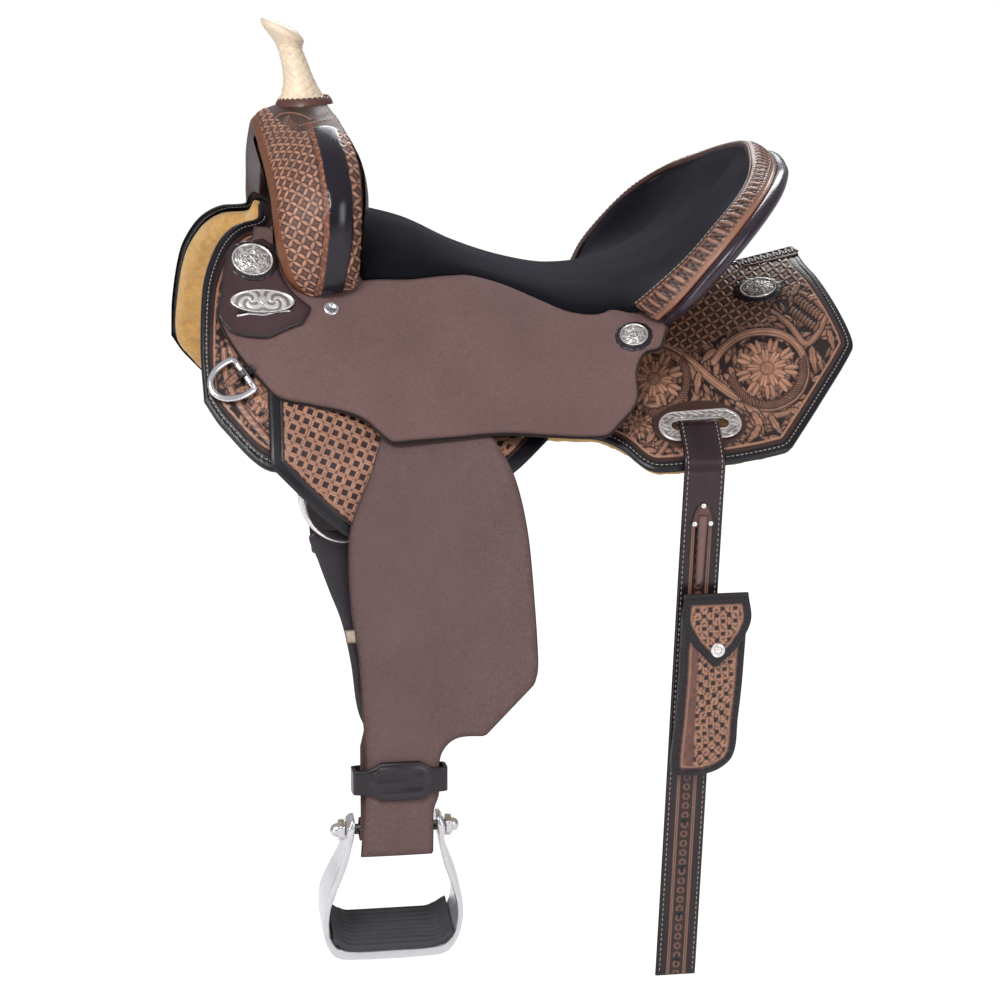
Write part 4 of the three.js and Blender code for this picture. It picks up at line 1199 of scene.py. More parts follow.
# Leaves: x, y, angle, length, half width, curl. Long ones are lobed.
REAR_LEAVES = [
    (212, -148, -2.6, 22, 4, .3), (216, -150, 2.7, 20, 3.6, -.3),
    (200, -128, 1.9, 24, 4.2, -.2), (206, -102, 2.2, 22, 4, .2),
    (244, -96, .5, 30, 4.6, .25), (252, -88, .9, 26, 4.4, .2), (270, -86, 1.2, 24, 4, -.2),
    (312, -150, .9, 24, 4.2, .2), (312, -154, 1.6, 28, 4.4, -.2),
    (328, -170, 1.2, 22, 3.6, .1), (306, -200, -.4, 22, 3.6, .2),
    (290, -204, -.8, 20, 3.6, -.2), (278, -182, 2.9, 22, 3.6, .2),
    (190, -148, -1., 20, 3.4, .2), (176, -154, -.5, 22, 3.4, -.2),
    (155, -90, 2.2, 20, 4, .2), (140, -88, 2.8, 22, 4, -.2), (260, -75, 2.0, 22, 4, .2),
    (122, -60, .7, 22, 4, .2), (290, -90, .2, 20, 3.6, .3)]
REAR_FLOWER, MIDDLE_FLOWER, SMALL_FLOWER = (267, -131), (153.6, -120.6), (137, -75)
REAR_CLUSTER = (306, -188)
ROUND_PANEL, ROUND_PANEL_R = (200, -75), 50


def flower_fringe(art, centre, radius, start, count):
    """Short strokes standing round a flower."""
    x, y = centre
    for k in range(count):
        angle = math.radians(start + 4.2 * k)
        tip, outer = angle - .13, radius + 6.5
        art.stroke([[x + radius * math.cos(angle), y + radius * math.sin(angle)],
                    [x + outer * math.cos(tip), y + outer * math.sin(tip)]], .8, .5)


def carve_rear():
    art = Carving(90, -264, 360, -25)
    angle = np.linspace(math.radians(178), math.radians(362), 26)
    art.stroke(np.stack([ROUND_PANEL[0] + ROUND_PANEL_R * np.cos(angle),
                         ROUND_PANEL[1] + ROUND_PANEL_R * np.sin(angle)], -1), 1.5, 1.5)
    centres = (REAR_FLOWER, MIDDLE_FLOWER, SMALL_FLOWER, REAR_CLUSTER)
    for k in range(1300):                       # small leaves flow round the nearest centre
        x, y = 96 + 250 * hash2(k, 4.1), -250 + 218 * hash2(k, 9.7)
        centre = min(centres, key=lambda c: math.hypot(x - c[0], y - c[1]))
        angle = (math.atan2(y - centre[1], x - centre[0])
                 + (1.25 if hash2(k, 2.2) > .5 else -1.25) + .9 * (hash2(k, 7.3) - .5))
        art.leaf(x, y, angle, 9 + 7 * hash2(k, 3.), 1.8 + 1.1 * hash2(k, 5.),
                 .5 * (hash2(k, 6.) - .5), 0, .6 + .3 * hash2(k, 8.5))
    for k in range(64):
        art.leaf(100 + 245 * hash2(k, 2.1), -165 + 130 * hash2(k, 5.7),
                 2 * math.pi * hash2(k, 1.3), 13 + 6 * hash2(k, 9.),
                 2.6 + 1.2 * hash2(k, 4.), .25 * (hash2(k, 8.) - .5))
    for points, half in REAR_SCROLLS:
        art.scroll(points, half)
    for entry in REAR_LEAVES:
        art.leaf(*entry, lobes=0 if entry[3] < 22 else 3)
    x, y = REAR_CLUSTER
    for k in range(9):                          # leaves lying round the flowers
        for centre, start, ring, length, width in ((REAR_FLOWER, 20, 31, 9.5, 2.2),
                                                   (MIDDLE_FLOWER, -20, 29, 9, 2.1)):
            angle = math.radians(start + 95 * k / 8)
            art.leaf(centre[0] + ring * math.cos(angle), centre[1] + ring * math.sin(angle),
                     angle - 1.1, length, width, .2)
        row_x, row_y = x + 3.0 * (k - 4), y + 4 + 2.2 * (k - 4)
        art.leaf(row_x, row_y - 4, -1.1, 11, 2.0, .25)
        art.leaf(row_x, row_y, 2.0, 9, 1.9, .25)
    flower_fringe(art, REAR_FLOWER, radius=33, start=-10, count=44)
    flower_fringe(art, MIDDLE_FLOWER, radius=30, start=-30, count=34)
    art.flower(*REAR_FLOWER, 30, 9, .3, .96)
    art.flower(*MIDDLE_FLOWER, 28, 8, .7, .96)
    art.flower(*SMALL_FLOWER, 15, 7, .1, .95)
    uneven = noise2((art.x + STAMP_START) * .5, (art.y + STAMP_START) * .5, 4.)
    art.height += .25 * (uneven - .5) * art.raised
    return art


def carve_front():
    art = Carving(-302, -295, -200, -20)
    for k in range(420):
        art.leaf(-300 + 98 * hash2(k, 2.7), -210 + 185 * hash2(k, 5.1), 6.28 * hash2(k, 8.3),
                 7 + 5 * hash2(k, 1.), 1.6 + .8 * hash2(k, 4.), .4 * (hash2(k, 6.) - .5), 0,
                 .65 + .3 * hash2(k, 3.5))
    for k in range(40):
        art.leaf(-285 + 75 * hash2(k, 1.7), -200 + 160 * hash2(k, 6.1),
                 6.28 * hash2(k, 3.3), 12, 2.6, .3 * (hash2(k, 8.) - .5))
    art.scroll([(-278, -182), (-268, -164), (-256, -148), (-238, -140), (-224, -124),
                (-224, -100), (-238, -80), (-256, -92), (-268, -112), (-275, -134)], 3.2)
    art.scroll([(-276, -150), (-274, -124), (-262, -98), (-244, -74), (-226, -54)], 2.8)
    art.leaf(-272, -155, .9, 26, 4.6, .3, 3)
    art.leaf(-260, -128, 2.2, 22, 4, .2)
    art.leaf(-250, -160, 1.2, 24, 4.4, -.3, 3)
    art.leaf(-264, -108, -.4, 24, 4., .3)
    art.flower(-234, -104, 20, 6, .4)
    art.flower(-262, -170, 11, 5, .1)
    return art


def petal_limit(x):
    """Lower limit of the petal stamping behind the front corner."""
    limit = np.interp(x, [60, 132, 164, 190, 212, 235, 264, 280],
                      [-148, -154, -156, -148, -160, -172, -175, -182])
    limit = np.where(x > 270, -200., limit)
    return np.where(x > 275, np.interp(x, [275, 300, 320, 360], [-204, -217, -210, -200]),
                    limit)


def skirt_tool():
    rear, front_art = carve_rear(), carve_front()

    def tool(flat, points, dist):
        plane = to_plane(points)
        x, y = plane[:, 0], plane[:, 1]
        front = x < -80
        # plan distance is short where the body slopes, so the rim is measured longer there
        normal = plan_normal(body_z, flat[:, 0], flat[:, 1])
        rim = dist / np.maximum(normal[:, 2], .35) ** .5
        carved, raised, cut = (np.where(front, a, b)
                               for a, b in zip(front_art.at(plane), rear.at(plane)))
        stamp = plane + STAMP_START
        height, col, rough = carve_tone(stamp, carved, raised, cut, 1.5)
        lattice = np.stack([stamp[:, 0] + .10 * stamp[:, 1], stamp[:, 1] * 1.22], -1)
        stamped = petals(lattice, pitch=9.6, angle=-.66, depth=1.1,
                         tones=(TAN * .9, MID, DARK))
        below = y - petal_limit(x)
        weight = fade(-.6, .6, below) * (~front)
        height = mix(height, stamped[0], weight)
        col = mix(col, stamped[1], weight)
        rough = mix(rough, stamped[2], weight)
        col = mix(col, TAN, .55 * fade(.3, 1.5, np.abs(below)) * (~front))
        panel = np.hypot(x - ROUND_PANEL[0], (y - ROUND_PANEL[1]) * 1.9)
        weight = fade(46, 48, panel) * (x > 100)
        height, col = height * (1 - weight), mix(col, MID * .45, weight)
        width = np.where(front, 10.5, 8.8)
        rear_edge = np.interp(flat[:, 0], [2.5, 38, 62], [232, 233, 238]) - flat[:, 1]
        rim = np.where(flat[:, 0] < 60, np.where(flat[:, 1] > 100, rear_edge, 99.), rim)
        col = col * (1 - .45 * ease(width + 9, width + 1, rim)[:, None])
        height, col = flat_band(rim, col, height, width + 3.6, width + 4.2, MID * .42)
        height, col = band_line(rim, col, height, width + 4.6, 1.9, TAN * .9, .5)
        groove = fade(.4, .9, np.abs(rim - width - 3.2))
        height, col = height - .5 * groove, col * (1 - .8 * groove[:, None])
        height, col, rough = border(rim, col, height, rough, width)
        return height - .5 * fade(.4, 1.1, np.abs(rim - 6.2)), col, rough
    return tool


def skirt_fine_zone(flat):
    """Fine mesh where the skirt shows: outside the jockey and just under its edge."""
    covered = inside(flat, jockey_outline)
    close = np.zeros(len(flat), bool)
    close[covered] = outline_dist(flat[covered], jockey_outline) < 28
    return ((flat[:, 0] > 60) | (flat[:, 1] > 120)) & (~covered | close)


def make_skirts():
    skirt = sheet("skirt", lift_plan(body_z), skirt_outline, TOOLED_STEP, 4.2, skirt_tool(),
                  rim_col=BLACK, open_under=True, zone=skirt_fine_zone)
    twins(skirt, "skirt", "tool", "skirt")
    lines = inset_line(skirt_outline, 4.6, lift_plan(body_z), lambda c: c[:, 0] > 60)
    twins(sew("skirt_stitch", lines, length=3.1, gap=1.3, radius=.6, lift=-.1),
          "skirt_stitch", "thread")


def make_fleece():
    """Shaggy pad below each skirt."""
    outline = resample(smooth_poly(FLEECE, 4), 3.4)
    low, high = outline.min(0), outline.max(0)
    grid_x, grid_y = np.meshgrid(np.arange(low[0], high[0], 3.6),
                                 np.arange(low[1], high[1], 3.6))
    fill = np.stack([grid_x.ravel(), grid_y.ravel()], -1)
    fill = fill[inside(fill, outline)]
    fill = fill[outline_dist(fill, outline) > 3]
    if not turns_left(outline):
        outline = outline[::-1]
    flat, faces = triangulate(np.vstack([outline, fill]), len(outline))
    dist = outline_dist(flat, outline)
    points, normals = lift_plan(body_z)(flat)
    top = points - normals * 5.0
    x, y = flat[:, 0], flat[:, 1]
    clumps = noise2(x * .09, y * .09, 2) * 3 + noise2(x * .35, y * .35, 3) * 2.6
    rounding = np.sqrt(np.clip(1 - (1 - np.clip(dist, 0, 9) / 9) ** 2, 0, 1))
    under = points - normals * (6 + 12. * (.30 + .70 * rounding) + clumps * .8)[:, None]
    faces = faces_along(faces, top, normals)
    pad = build("fleece", np.vstack([top, under]), shell_faces(faces, len(flat)))
    twins(pad, "fleece", "fleece", "skirt_fleece")


# ---------------------------------------------------------------- seat
def make_jockeys():
    tone = rgb(108, 84, 82)
    tool = plain_tool(tone, .93, noise_scale=.03, seed=5, low=.93, swing=.14,
                      edge_fade=(.6, 2.2), edge_share=.55)
    piece = sheet("jockey", lift_plan(jockey_z), jockey_outline, 4.0, 4.6, tool,
                  rim_col=EDGE, base=tone, edge_r=1.5)
    twins(piece, "jockey", "rough", "seat_jockey")


SEAT_TONE = rgb(27, 25, 33)


def seat_tool(flat, points, dist):
    near = fade(3, 14, dist)
    return -1.4 * near * near, np.tile(SEAT_TONE, (len(flat), 1)), np.full(len(flat), .95)


def make_seat():
    half = smooth_poly(SEAT_SIDE + [[max(x - 1, 0), y] for x, y, _ in RIM.tolist()], 3,
                       closed=False)
    half = half[(half[:, 0] > .5) | (half[:, 1] > 100)]
    outline = np.vstack([half, (half * [-1, 1])[::-1]])
    apart = np.linalg.norm(np.diff(outline, axis=0), axis=1) > .3
    seat = sheet("seat_cover_look", lift_plan(seat_z), outline[np.r_[True, apart]], 3.4, 9,
                 seat_tool, edge_r=2.4, base=SEAT_TONE)
    put(seat, "suede", "saddle_body", "seat_cover")


# ---------------------------------------------------------------- cantle roll and binding
def both_sides(half):
    return np.vstack([half, half[:-1][::-1] * [-1, 1, 1]])


def cantle_frame(count, follow_outer):
    """Rim, outer edge, way across and normal; the run follows one of the two edges."""
    rim, outer = spline(both_sides(RIM), count), spline(both_sides(BAND), count)
    across = unit(outer - rim)
    along = unit(np.gradient(outer if follow_outer else rim, axis=0))
    return rim, outer, across, unit(np.cross(across, along))


ROLL_COUNT, ROLL_COLUMNS = 520, 44
ROLL_PITCH = 11.2


def roll_pattern(run, depth_in, width, share):
    """Paired bars with beads and holes between, running along the band."""
    p = run / ROLL_PITCH
    f = p - np.floor(p)
    c = (depth_in - width * .46) / (width * .30)
    c_abs = np.abs(c)
    bars = fade(.19, .24, np.abs(f - .5)) * fade(.72, .84, c_abs)
    slots = fade(.05, .09, np.abs(np.abs(f - .5) - .205)) * fade(.75, .85, c_abs)
    beads = ease(.45, .6, np.cos(4 * np.pi * p)) * fade(.10, .16, np.abs(c_abs - 1.0))
    off = np.abs(f - np.round(f))
    holes = (fade(.16, .24, np.hypot(off * 1.5, c * .55))
             + fade(.10, .16, np.hypot((off - .19) * 1.6, (c_abs - .62) * .6)))
    holes = np.clip(holes, 0, 1)
    inner = fade(1.12, 1.2, c_abs)
    mottle = noise2(run * .08, depth_in * .1, 4)
    col = (MID * .9)[None] * (.75 + .5 * mottle[:, None])
    col = mix(col, TAN * .86, np.clip(bars * .8 + beads, 0, 1))
    col = mix(col, DARK * .75, np.clip(slots * .8 + holes * .95, 0, 1) * inner)
    height = (.55 * bars + .5 * beads - .7 * slots - .8 * holes) * inner
    for line in (.46 - .30 * 1.32, .46 + .30 * 1.34):
        height, col = band_line(depth_in, col, height, width * line, .9, DARK * .8, -.5)
    col = mix(col, TAN * .72, ease(width * .78, width * .80, depth_in))
    return height, mix(col, rgb(96, 38, 22), ease(.93, 1., share))


def make_cantle_roll():
    rim, outer, across, normal = cantle_frame(ROLL_COUNT, follow_outer=False)
    width = np.linalg.norm(outer - rim, axis=1)
    run = np.cumsum(np.linalg.norm(np.diff((rim + outer) / 2, axis=0), axis=1))
    run = np.repeat(np.r_[0, run], ROLL_COLUMNS)
    share = np.linspace(0, 1, ROLL_COLUMNS)
    profile = np.interp(share, [0, .06, .35, .72, 1.0], [1.0, 2.2, 5, 4.2, 1.2])
    profile = np.convolve(np.pad(profile, 3, mode='edge'), np.ones(7) / 7, 'valid')
    reach = 1.2 + (width[:, None] - 1.2) * share[None]
    flat = rim[:, None] + across[:, None] * reach[..., None]
    height, col = roll_pattern(run, (share * width[:, None]).ravel(),
                               np.repeat(width, ROLL_COLUMNS), np.tile(share, ROLL_COUNT))
    rise = profile[None] + height.reshape(ROLL_COUNT, ROLL_COLUMNS)
    roll = shell("cantle_roll_look", flat + normal[:, None] * rise[..., None],
                 flat - normal[:, None] * 4.5,
                 np.vstack([col, np.tile(DARK, (len(col), 1))]), .42)
    put(roll, "tool", "saddle_body", "cantle_roll")
    return rim + across * 2.2 + normal * 2.0, normal


def make_cantle_binding():
    """Black binding rolled over the cantle's edge."""
    count = 240
    _, outer, across, normal = cantle_frame(count, follow_outer=True)
    from_end = np.minimum(np.arange(count), count - 1 - np.arange(count))
    full = .45 + .55 * np.clip(from_end / 14., 0, 1)[:, None] ** .5
    angle = np.linspace(0, 2 * np.pi, 26, endpoint=False)
    out = 6.2 + 5.9 * signed_power(np.cos(angle), .85)[None] * full
    rise = -2.4 + 6.9 * signed_power(np.sin(angle), .85)[None] * full
    points, faces = capped(outer[:, None] + across[:, None] * out[..., None]
                           + normal[:, None] * rise[..., None])
    mottle = noise2(np.arange(len(points)) * .05, np.zeros(len(points)), 8)[:, None]
    binding = build("cantle_binding_look", points, faces,
                    rgb(44, 32, 42)[None] * (.85 + .3 * mottle), .24)
    put(outward(binding), "dark", "saddle_body", "cantle_binding")


def make_cantle():
    stitch_line = make_cantle_roll()
    make_cantle_binding()
    put(sew("rim_stitch", [stitch_line], length=3.6, gap=1.6, radius=.62, lift=.1),
        "thread", "saddle_body")


def make_skirt_lacing():
    """Crossed thongs on the spine behind the cantle."""
    points, faces, count = [], [], 0
    for i in range(9):
        for side in (1, -1):
            x = np.linspace(-13 * side, 13 * side, 16)
            y = 178 + i * 6.2 + np.linspace(0, 4.6, 16)
            over = .5 * side * np.cos(np.linspace(0, math.pi, 16))
            path = np.stack([x, y, body_z(x, y) + 1.9 + over], -1)
            v, f = tube(path, (.8, 1.7), 8, up=(0, 0, 1))
            points.append(v)
            faces.append(f + count)
            count += len(v)
    bed = sheet("lacing_bed", lift_plan(body_z),
                [[17, 174], [19, 232], [-19, 232], [-17, 174]], 4, 1.6, top=1.4,
                base=MID * .7)
    thong = build("lacing_thong", np.vstack(points), np.vstack(faces), MID * .8, .5)
    put(join([bed, thong], "skirt_lacing_look"), "tool", "saddle_body", "skirt_lacing")


# ---------------------------------------------------------------- swell
# Stations from the top middle down the near side: front edge, rear edge, bulge.
SWELL_FRONT = np.array([
    [0, -296, 168], [50, -295, 151], [95, -293, 129], [118, -291, 108], [132, -290, 84],
    [141, -287, 60], [146, -279, 36], [143, -263, 20]], float)
SWELL_REAR = np.array([
    [0, -227, 185], [40, -222, 176], [85, -216, 161], [122, -212, 140], [145, -212, 107],
    [145, -212, 75], [140, -214, 39], [136, -217, 26]], float)
SWELL_BULGE = np.array([[9], [11], [14], [18], [21], [19], [12], [7]], float)
SWELL_ROWS, SWELL_COLUMNS = ((250, 104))
# Tooling strands on the drawing plane: first strand, step to the next, end half widths.
SWELL_STRANDS = [
    ([(-170, -389), (-188, -388), (-204, -394), (-212, -388), (-208, -378), (-198, -372)],
     [(-1.5, 1.6), (-2, .2), (-2.2, 1.2), (-1.8, 2.2), (-1.2, 2), (0, 1.6)], .95, .7),
    ([(-200, -374), (-188, -378), (-174, -382), (-158, -372)],
     [(3.5, -.8), (3.8, -1.1), (4, -.6), (2.6, 1.2)], .95, .7),
    ([(-154, -378), (-149, -360), (-144, -335)], [(1.1, 2), (1, 3), (.6, 3)], .9, .6)]
# Black inlay on the drawing plane: its front and rear edges at heights down the plane.
INLAY_DOWN = [-384, -370, -340, -309, -296, -260, -216, -200]
INLAY_FRONT = [-194, -186, -178, -173, -171, -171, -177, -180]
INLAY_REAR = [-170, -163, -153, -148, -147, -147, -155, -160]
swell_at = np.linspace(0, 6.85, SWELL_ROWS)


def swell_curve(rows, mirrored):
    """Curve through the stations, carried over the middle by its reflection."""
    before = rows[1:2] * (np.array([-1, 1, 1]) if mirrored else 1)
    rise = np.diff(np.vstack([before, rows]), axis=0)
    slope = np.vstack([(rise[:-1] + rise[1:]) / 2, rise[-1:]])
    i = np.clip(swell_at.astype(int), 0, 6)
    return hermite((swell_at - i)[:, None], 1, rows[i], slope[i], rows[i + 1], slope[i + 1])


swell_front = swell_curve(SWELL_FRONT, mirrored=True)
swell_rear = swell_curve(SWELL_REAR, mirrored=True)
swell_span = swell_rear - swell_front


def swell_outward():
    down = np.gradient((swell_front + swell_rear) / 2, axis=0)
    down[0, 1:] = 0
    out = unit(np.cross(swell_span, down))
    return out * np.where(out[:, 2:3] + out[:, 0:1] < 0, -1, 1)


swell_normal = swell_outward()


def swell_tool(base, back, row, down_run, span_run):
    """Tooling of the swell; back is 0 at the front edge and 1 at the rear edge."""
    plane = to_plane(base)
    x, y = plane[:, 0], plane[:, 1]
    art = Carving(-264, -404, -125, -330)
    for first, step, start_half, end_half in SWELL_STRANDS:
        for k in range(9):
            strand = (np.array(first, float) + k * np.array(step)).tolist()
            art.stroke(smooth_poly(strand, 2, closed=False), start_half, end_half)
    carved, raised, cut = art.at(plane)
    raised = np.clip(raised, 0, 1)
    # stamped along the surface itself so the lattice follows the bulge
    lattice = np.stack([(back - .1) * span_run, down_run], -1)
    height, col, rough = petals(lattice, pitch=9.6, angle=.74, depth=1.15,
                                tones=(TAN * .98, MID * 1.25, DARK * 1.15))
    limit = np.interp(x, [-260, -238, -220, -202, -188, -174, -155, -128],
                      [-400, -397, -378, -367, -370, -374, -368, -325])
    crown = fade(-1, 1.2, y - limit) * (row < 3.6)
    crown_height, crown_col, _ = carve_tone(plane + STAMP_START, carved, raised, cut, 1.)
    crown_col = mix(crown_col, MID * .8, (1 - raised) * .7)
    height = mix(height, crown_height * .7, crown)
    col = mix(col, crown_col * .8, crown)
    rough = mix(rough, .62, crown)
    welt = fade(.085, .10, back)
    col, height = mix(col, rgb(112, 66, 42), welt), height * (1 - welt)
    height = height - .6 * fade(.004, .012, np.abs(back - .10))
    col = mix(col, rgb(74, 46, 36), fade(.0, .03, back + .03))
    inlay_front = np.interp(y, INLAY_DOWN, INLAY_FRONT)
    inlay_rear = np.interp(y, INLAY_DOWN, INLAY_REAR)
    for off in (-3.2, -5.6):
        groove = fade(.5, 1.0, np.abs(x - inlay_front - off)) * (y > -384)
        height = height - .5 * groove
        col = mix(col, DARK * .6, .75 * groove)
    strip = ((x > inlay_front - 5) & (x < inlay_front) & (y > -378)).astype(float)
    col = mix(col, rgb(132, 74, 48), strip * .6)
    inlay = (ease(-.8, .8, x - inlay_front) * fade(-.8, .8, x - inlay_rear)
             * ease(0, 3, y + 376 - .02 * (x + 175) ** 2) * (row > .6))
    col = mix(col, rgb(27, 22, 30), inlay)
    height = mix(height, .75, inlay) - .5 * inlay * (1 - inlay) * 4
    rough = mix(rough, .14, inlay)
    return height, mix(col, MID * .6, ease(.985, 1.03, back) * .5), rough


def make_swell():
    # past either edge the cover wraps in toward the gullet
    back = np.linspace(-.16, 1.16, SWELL_COLUMNS)
    held = np.clip(back, 0, 1)
    bulge = (1 - np.abs(2 * held - 1) ** 3) ** .75
    wrapped = np.where(back < 0, -back, np.where(back > 1, back - 1, 0))
    rise = swell_curve(SWELL_BULGE, mirrored=False) * bulge[None] - wrapped[None] * 90
    grid = (swell_front[:, None] + swell_span[:, None] * held[None, :, None]
            + swell_normal[:, None] * rise[..., None])
    normals = unit(np.cross(np.gradient(grid, axis=1), np.gradient(grid, axis=0)), 1e-9)
    facing = (normals * swell_normal[:, None]).sum(2)
    if facing.sum() < 0:
        normals *= np.where(facing < -.02, -1, 1)[..., None]
    base = grid.reshape(-1, 3)
    steps = np.diff(grid[:, SWELL_COLUMNS // 3], axis=0)
    down_run = np.r_[0, np.cumsum(np.linalg.norm(steps, axis=1))]
    span_run = np.linalg.norm(swell_span, axis=1) * 1.12
    row = np.repeat(np.arange(SWELL_ROWS), SWELL_COLUMNS)
    height, col, rough = swell_tool(base, np.tile(back, SWELL_ROWS), swell_at[row],
                                    down_run[row], span_run[row])
    near = base + normals.reshape(-1, 3) * height[:, None]
    near[row == 0, 0] = 0
    faces = grid_faces(SWELL_ROWS, SWELL_COLUMNS)
    cover = build("swell_cover", np.vstack([near, near * [-1, 1, 1]]),
                  np.vstack([faces, faces[:, ::-1] + len(near)]), np.vstack([col, col]),
                  np.r_[rough, rough])
    outward(cover, weld=1e-5)
    # the cover is open below, so its highest face decides which way is out
    if max(cover.data.polygons, key=lambda f: f.center.z).normal.z < 0:
        cover.data.flip_normals()
    put(cover, "tool", "saddle_body", "fork_cover")


def make_gullet():
    """Smooth dark leather closing the front and the back of the arch."""
    across = unit(swell_span)
    depth = np.interp(swell_at, np.arange(8.), [40, 40, 42, 46, 46, 42, 30, 24])[:, None]
    for name, edge, way in (("gullet_front", swell_front, -1), ("gullet_rear", swell_rear, 1)):
        outer, inner = edge - swell_normal * 13.5, edge - swell_normal * depth
        rows = [outer * (1 - a) + inner * a
                + across * (3 * way * math.sin(math.pi * (1 - a) / 2))
                for a in np.linspace(0, 1, 7)]
        rows.append(rows[-1] - across * way * 12)
        near = np.stack(rows, 1).reshape(-1, 3)
        faces = grid_faces(SWELL_ROWS, 8)
        piece = build(name, np.vstack([near, near * [-1, 1, 1]]),
                      np.vstack([faces, faces[:, ::-1] + len(near)]), rgb(66, 42, 36), .5)
        put(outward(piece), "dark", "saddle_body")


# ---------------------------------------------------------------- horn
# Stations up the horn: y, z, radius, lean in degrees.
HORN = np.array([
    [-246, 184, 25, 0], [-246.5, 187, 24, 2], [-247, 192, 19.6, 4], [-249, 202, 16, 8],
    [-252, 214, 13.7, 10], [-256, 228, 12.7, 13], [-260, 238, 13, 16],
    [-262.5, 243.5, 16.6, 19], [-264, 247.4, 19.9, 21], [-265, 249.8, 21, 21],
    [-266, 252.4, 20.8, 21], [-267.4, 255.4, 19.6, 21], [-268.4, 257.6, 17.4, 21],
    [-269.2, 259.2, 13, 21], [-269.8, 260.2, 6, 21], [-269.9, 260.4, .4, 21]], float)


def make_horn():
    """Horn with a braided rawhide neck."""
    rows, seg = 150, 96
    run = np.r_[0, np.cumsum(np.linalg.norm(np.diff(HORN[:, :3], axis=0), axis=1))]
    at = np.linspace(0, run[-1], rows)
    line = np.stack([np.interp(at, run, HORN[:, k]) for k in range(4)], -1)
    for _ in range(6):
        line[1:-1] = (line[:-2] + 2 * line[1:-1] + line[2:]) / 4
    up, angle = np.meshgrid(at, np.linspace(0, 2 * np.pi, seg, endpoint=False),
                            indexing='ij')
    y, z, radius, lean = (line[:, k:k + 1] for k in range(4))
    lean = np.radians(lean)
    neck = ease(3, 8, up) * fade(60, 68, up)
    first, second = angle * 9 / np.pi / 2 + up / 7.4, angle * 9 / np.pi / 2 - up / 7.4
    strands = [np.sqrt(np.clip(1 - (np.abs(p % 1 - .5) * 2) ** 2, 0, 1))
               for p in (first, second)]
    over = (np.floor(first) + np.floor(second)) % 2 == 0
    braid = np.where(over, *strands)
    radius = radius + neck * (braid - .55) * .9
    points = grid_points(radius * np.cos(angle), y + radius * np.sin(angle) * np.cos(lean),
                         z - radius * np.sin(angle) * np.sin(lean)).reshape(-1, 3)
    mottle = noise2(angle.ravel() * 3, up.ravel() * .12, 6)
    col = rgb(226, 206, 178)[None] * (.92 + .14 * mottle[:, None])
    # edges of the braid's strands painted darker: painted shade in the crevices between strands
    col = mix(col, rgb(168, 132, 92), .42 * (neck * fade(.05, .5, braid)).ravel())
    col = mix(col, rgb(150, 120, 88), ease(86, 92, up).ravel() * .30 * mottle)
    horn = build("horn_look", points, grid_faces(rows, seg, False, True), col, .42)
    put(outward(horn), "raw", "saddle_body", "horn_wrap")


def make_horn_collar():
    """Scalloped collar round the foot of the horn."""
    scallops, count = 26, 260
    angle = np.linspace(0, 2 * np.pi, count, endpoint=False)
    scallop = np.abs(np.sin(angle * scallops / 2)) ** .6
    rows = []
    for radius, rise, cut in ((23.6, 2.0, 1.6), (24.4, 3.0, 1.6), (25.6, 2.9, 0),
                              (27.2, .6, 0), (28.5, -3, 0)):
        r = radius - cut * (1 - scallop)
        z = 186.2 + rise + cut * scallop + (r - 24) * (-.05) + np.sin(angle) * 1.2
        rows.append(np.stack([r * np.cos(angle), -246 + r * np.sin(angle) * .96, z], -1))
    collar = build("horn_collar", np.vstack(rows), grid_faces(len(rows), count, False, True),
                   rgb(88, 54, 44), .5)
    put(outward(collar), "dark", "saddle_body")


# ---------------------------------------------------------------- front plate and ornaments
# Front plate outline on the drawing plane (x, y, 1 at a sharp corner).
FRONT_PLATE = [
    (-238, -264, 1), (-227, -257, 1), (-219, -228, 0), (-208, -211, 0), (-189, -195, 1),
    (-198, -179, 1), (-231, -165, 1), (-270, -171, 1), (-283, -187, 1), (-280, -210, 0),
    (-278, -234, 0), (-271, -251, 0), (-256, -261, 0)]


def make_front_plate():
    spots = cast([p[:2] for p in FRONT_PLATE], jockey_z, 4.)
    outline = smooth_poly([[s[0], s[1], p[2]] for s, p in zip(spots, FRONT_PLATE)], 2)
    tool = plain_tool(rgb(62, 42, 44), .4, edge=rgb(38, 26, 26), noise_scale=.05, seed=9,
                      low=.85, swing=.3, edge_fade=(.5, 2.6), edge_share=.7)
    plate = sheet("front_plate", lift_plan(jockey_z), outline, 2.4, 3., tool, top=4.,
                  rim_col=rgb(34, 26, 28), base=rgb(60, 38, 36), edge_r=1.2)
    twins(plate, "front_plate", "dark", "front_plate")


